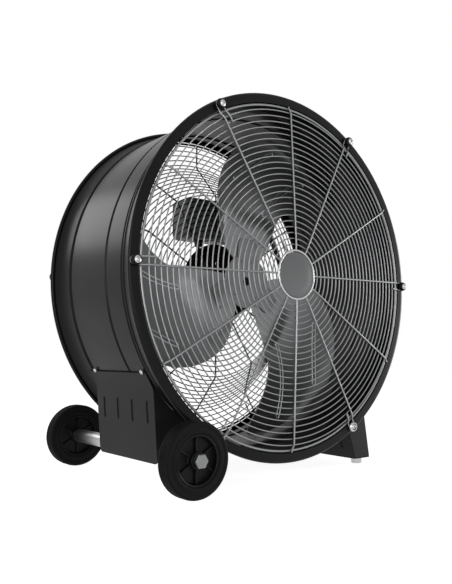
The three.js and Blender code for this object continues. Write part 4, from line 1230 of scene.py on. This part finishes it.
def make_leg():
    (_, front, bottom), (outer_x, rear, _) = map(fan_place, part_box("leg_bracket"))
    top = Vector(swing(SADDLE, LEG_TOP[0]))
    lean = atan2(top.x - LEG_INNER, top.y - bottom)
    side = sheet_between([(LEG_INNER, bottom), (LEG_INNER + SHEET, bottom), (top.x + SHEET, top.y), top],
                         front, rear)
    rise = LEG_SLOT_RISE + SLOT_LENGTH / 2
    press_slots(side, front, rear, LEG_SLOT_SHIFT, LEG_INNER + rise * tan(lean), bottom + rise, lean)
    base = sheet_between([(LEG_INNER, bottom), (outer_x, bottom), (outer_x, bottom + SHEET),
                          (LEG_INNER, bottom + SHEET)], front, rear)
    wall = [(LEG_INNER, bottom), (outer_x - 3, bottom), (outer_x - 0.8, bottom + 0.8), (outer_x, bottom + 3)]
    wall += arc(DRUM_BODY + 1, LEG_TOP[1], LEG_TOP[0], 2)
    pieces = [soften(side), soften(base)]
    for y in (front, rear - SHEET):
        pieces.append(soften(sheet_between(wall, y, y + SHEET)))
    pieces.append(drum_tab(LEG_TOP[0], LEG_TOP[0] + LEG_TAB_ANGLE, front + 9, rear - 9))
    settle(join(pieces), "leg", "stand", "leg_bracket", angle=12)
    bolts = [drum_bolt(LEG_TOP[0] + LEG_BOLT_ANGLE, y) for y in (front + 20, rear - 20)]
    settle(join(bolts), "leg_screws", "zinc")


def make_feet():
    for side in ("front", "rear"):
        centre = middle(f"{side}_foot")
        radius, tall, base = round_node(f"{side}_foot", "z")
        foot = turned([(0, 0), (radius - 1.2, 0), (radius - 0.3, 0.5), (radius, 1.6), (radius, FOOT_PAD - 1),
                       (radius - 1, FOOT_PAD), (4, FOOT_PAD), (4, tall - 0.6), (3.4, tall), (0, tall)],
                      base, centre, 48, upright=True)
        settle(foot, f"{side}_foot_pad", "zinc", f"{side}_foot")
        low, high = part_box(f"{side}_foot_nut")
        across, height = in_mm((high.y - low.y) / 2, high.z - low.z)
        end = [(4.2, 0), (across - 0.8, 0), (across, 0.8)]
        nut = turned(end + mirrored(end, height), low.z, centre, 6, upright=True)
        settle(nut, f"{side}_foot_lock_nut", "zinc", f"{side}_foot_nut", angle=25)


def make_stand():
    make_bracket()
    make_leg()
    make_feet()


# ---------------------------------------------------------------- stage

CAMERA_FROM_RIM = Vector((-819.5, -848.8, -139.7)) * MM
CAMERA_YAW = -38.56
CAMERA_PITCH = 5.37
FOCAL_PIXELS = 656.6
SENSOR_HEIGHT = 24.0

# name, place in metres, width and height in metres, watts
SOFTBOXES = (
    ("key_softbox", (-2.4, -1.3, 0.55), (1.4, 1.4), 28),
    ("low_softbox", (-0.5, -2.3, 0.15), (1.4, 0.3), 4),
    ("side_softbox", (2.6, -0.95, 0.45), (0.5, 0.9), 22),
    ("rear_softbox", (-1.2, 2.2, 1.5), (1.4, 0.9), 12),
)


def make_camera():
    lens = bpy.data.cameras.new("camera")
    lens.sensor_fit = "VERTICAL"
    lens.sensor_height = SENSOR_HEIGHT
    lens.lens = FOCAL_PIXELS / PHOTO_HEIGHT * SENSOR_HEIGHT
    lens.clip_start = 0.01
    camera = bpy.data.objects.new("camera", lens)
    camera.location = Vector((0, FRONT_RIM_Y, AXIS_Z)) + CAMERA_FROM_RIM
    camera.rotation_euler = (radians(90 + CAMERA_PITCH), 0, radians(CAMERA_YAW))
    bpy.context.scene.collection.objects.link(camera)
    bpy.context.scene.camera = camera


def soft_light(name, place, size, power):
    lamp = bpy.data.lights.new(name, "AREA")
    lamp.shape = "RECTANGLE"
    lamp.size, lamp.size_y = size
    lamp.energy = power
    light = bpy.data.objects.new(name, lamp)
    light.location = place
    light.rotation_euler = (AXIS - Vector(place)).to_track_quat("-Z", "Y").to_euler()
    bpy.context.scene.collection.objects.link(light)


def white_for_camera(tree, strength, others):
    """Strength that is white for the camera and for glossy and transmission rays."""
    path = tree.nodes.new("ShaderNodeLightPath")
    seen = Value(tree, path.outputs["Is Camera Ray"]) + Value(tree, path.outputs["Is Glossy Ray"])
    seen = (seen + Value(tree, path.outputs["Is Transmission Ray"])).clipped()
    return others + seen * (strength - others)


def make_world():
    world = bpy.data.worlds.new("studio")
    world.use_nodes = True
    tree = world.node_tree
    background = tree.nodes["Background"]
    background.inputs["Color"].default_value = (1, 1, 1, 1)
    feed(tree, background.inputs["Strength"], white_for_camera(tree, 1.0, 0.1))
    bpy.context.scene.world = world


def make_floor():
    deselect()
    bpy.ops.mesh.primitive_plane_add(size=14, location=(0, 0, 0))
    floor = bpy.context.object
    floor.name = "floor"
    finish = Finish("studio_floor", roughness=0.9, specular_ior_level=0.1)
    finish.set(base_color=(0.8, 0.8, 0.8))
    finish.set(emission_color=(1, 1, 1), emission_strength=white_for_camera(finish.tree, 0.92, 0.3))
    floor.data.materials.append(finish.material)


def make_stage():
    make_floor()
    make_world()
    for name, place, size, power in SOFTBOXES:
        soft_light(name, place, size, power)
    make_camera()
    bpy.context.scene.view_settings.view_transform = "Standard"


# ---------------------------------------------------------------- operators and panel


def operator(idname, label, doc, make):
    """Operator class that runs one making function."""

    def execute(self, context):
        make()
        return {"FINISHED"}

    content = {"bl_idname": "drum_fan." + idname, "bl_label": label, "__doc__": doc,
               "bl_options": {"REGISTER", "UNDO"}, "execute": execute}
    return type("DRUMFAN_OT_" + idname, (bpy.types.Operator,), content)


OPERATORS = [
    operator("finishes", "Make Finishes", "Makes the materials of every piece", make_finishes),
    operator("stage", "Set Stage", "Adds the floor, the lights and the camera", make_stage),
    operator("drum", "Add Drum", "Models the belled drum", make_drum),
    operator("front_guard", "Add Front Guard", "Models the front guard", make_front_guard),
    operator("badge", "Add Badge", "Models the badge", make_badge),
    operator("rear_guard", "Add Rear Guard", "Models the rear guard", make_rear_guard),
    operator("clips", "Add Clips", "Models the guards' screws and washers", make_clips),
    operator("blades", "Add Blades", "Models the fan's blades", make_blades),
    operator("hub", "Add Hub", "Models the hub spider and its rivets", make_hub),
    operator("motor", "Add Motor", "Models the motor", make_motor),
    operator("control_box", "Add Control Box", "Models the control box", make_control_box),
    operator("wheels", "Add Wheels", "Models the wheels and the axle", make_wheels),
    operator("stand", "Add Stand", "Models the bracket, the leg and the feet", make_stand),
]


class DRUMFAN_PT_panel(bpy.types.Panel):
    """Lists the fan's pieces."""

    bl_label = "Drum Fan"
    bl_idname = "DRUMFAN_PT_panel"
    bl_space_type = "VIEW_3D"
    bl_region_type = "UI"
    bl_category = "Drum Fan"

    def draw(self, context):
        for kind in OPERATORS:
            self.layout.operator(kind.bl_idname)


CLASSES = [DrumFanSizes, DrumFanColours, *OPERATORS, DRUMFAN_PT_panel]


def register():
    for kind in CLASSES:
        bpy.utils.register_class(kind)
    bpy.types.Scene.drum_fan_sizes = bpy.props.PointerProperty(type=DrumFanSizes)
    bpy.types.Scene.drum_fan_colours = bpy.props.PointerProperty(type=DrumFanColours)


def unregister():
    del bpy.types.Scene.drum_fan_colours
    del bpy.types.Scene.drum_fan_sizes
    for kind in reversed(CLASSES):
        bpy.utils.unregister_class(kind)


def main():
    register()
    for kind in OPERATORS:
        step = kind.bl_idname.split(".")[1]
        getattr(bpy.ops.drum_fan, step)()


if __name__ == "__main__":
    main()
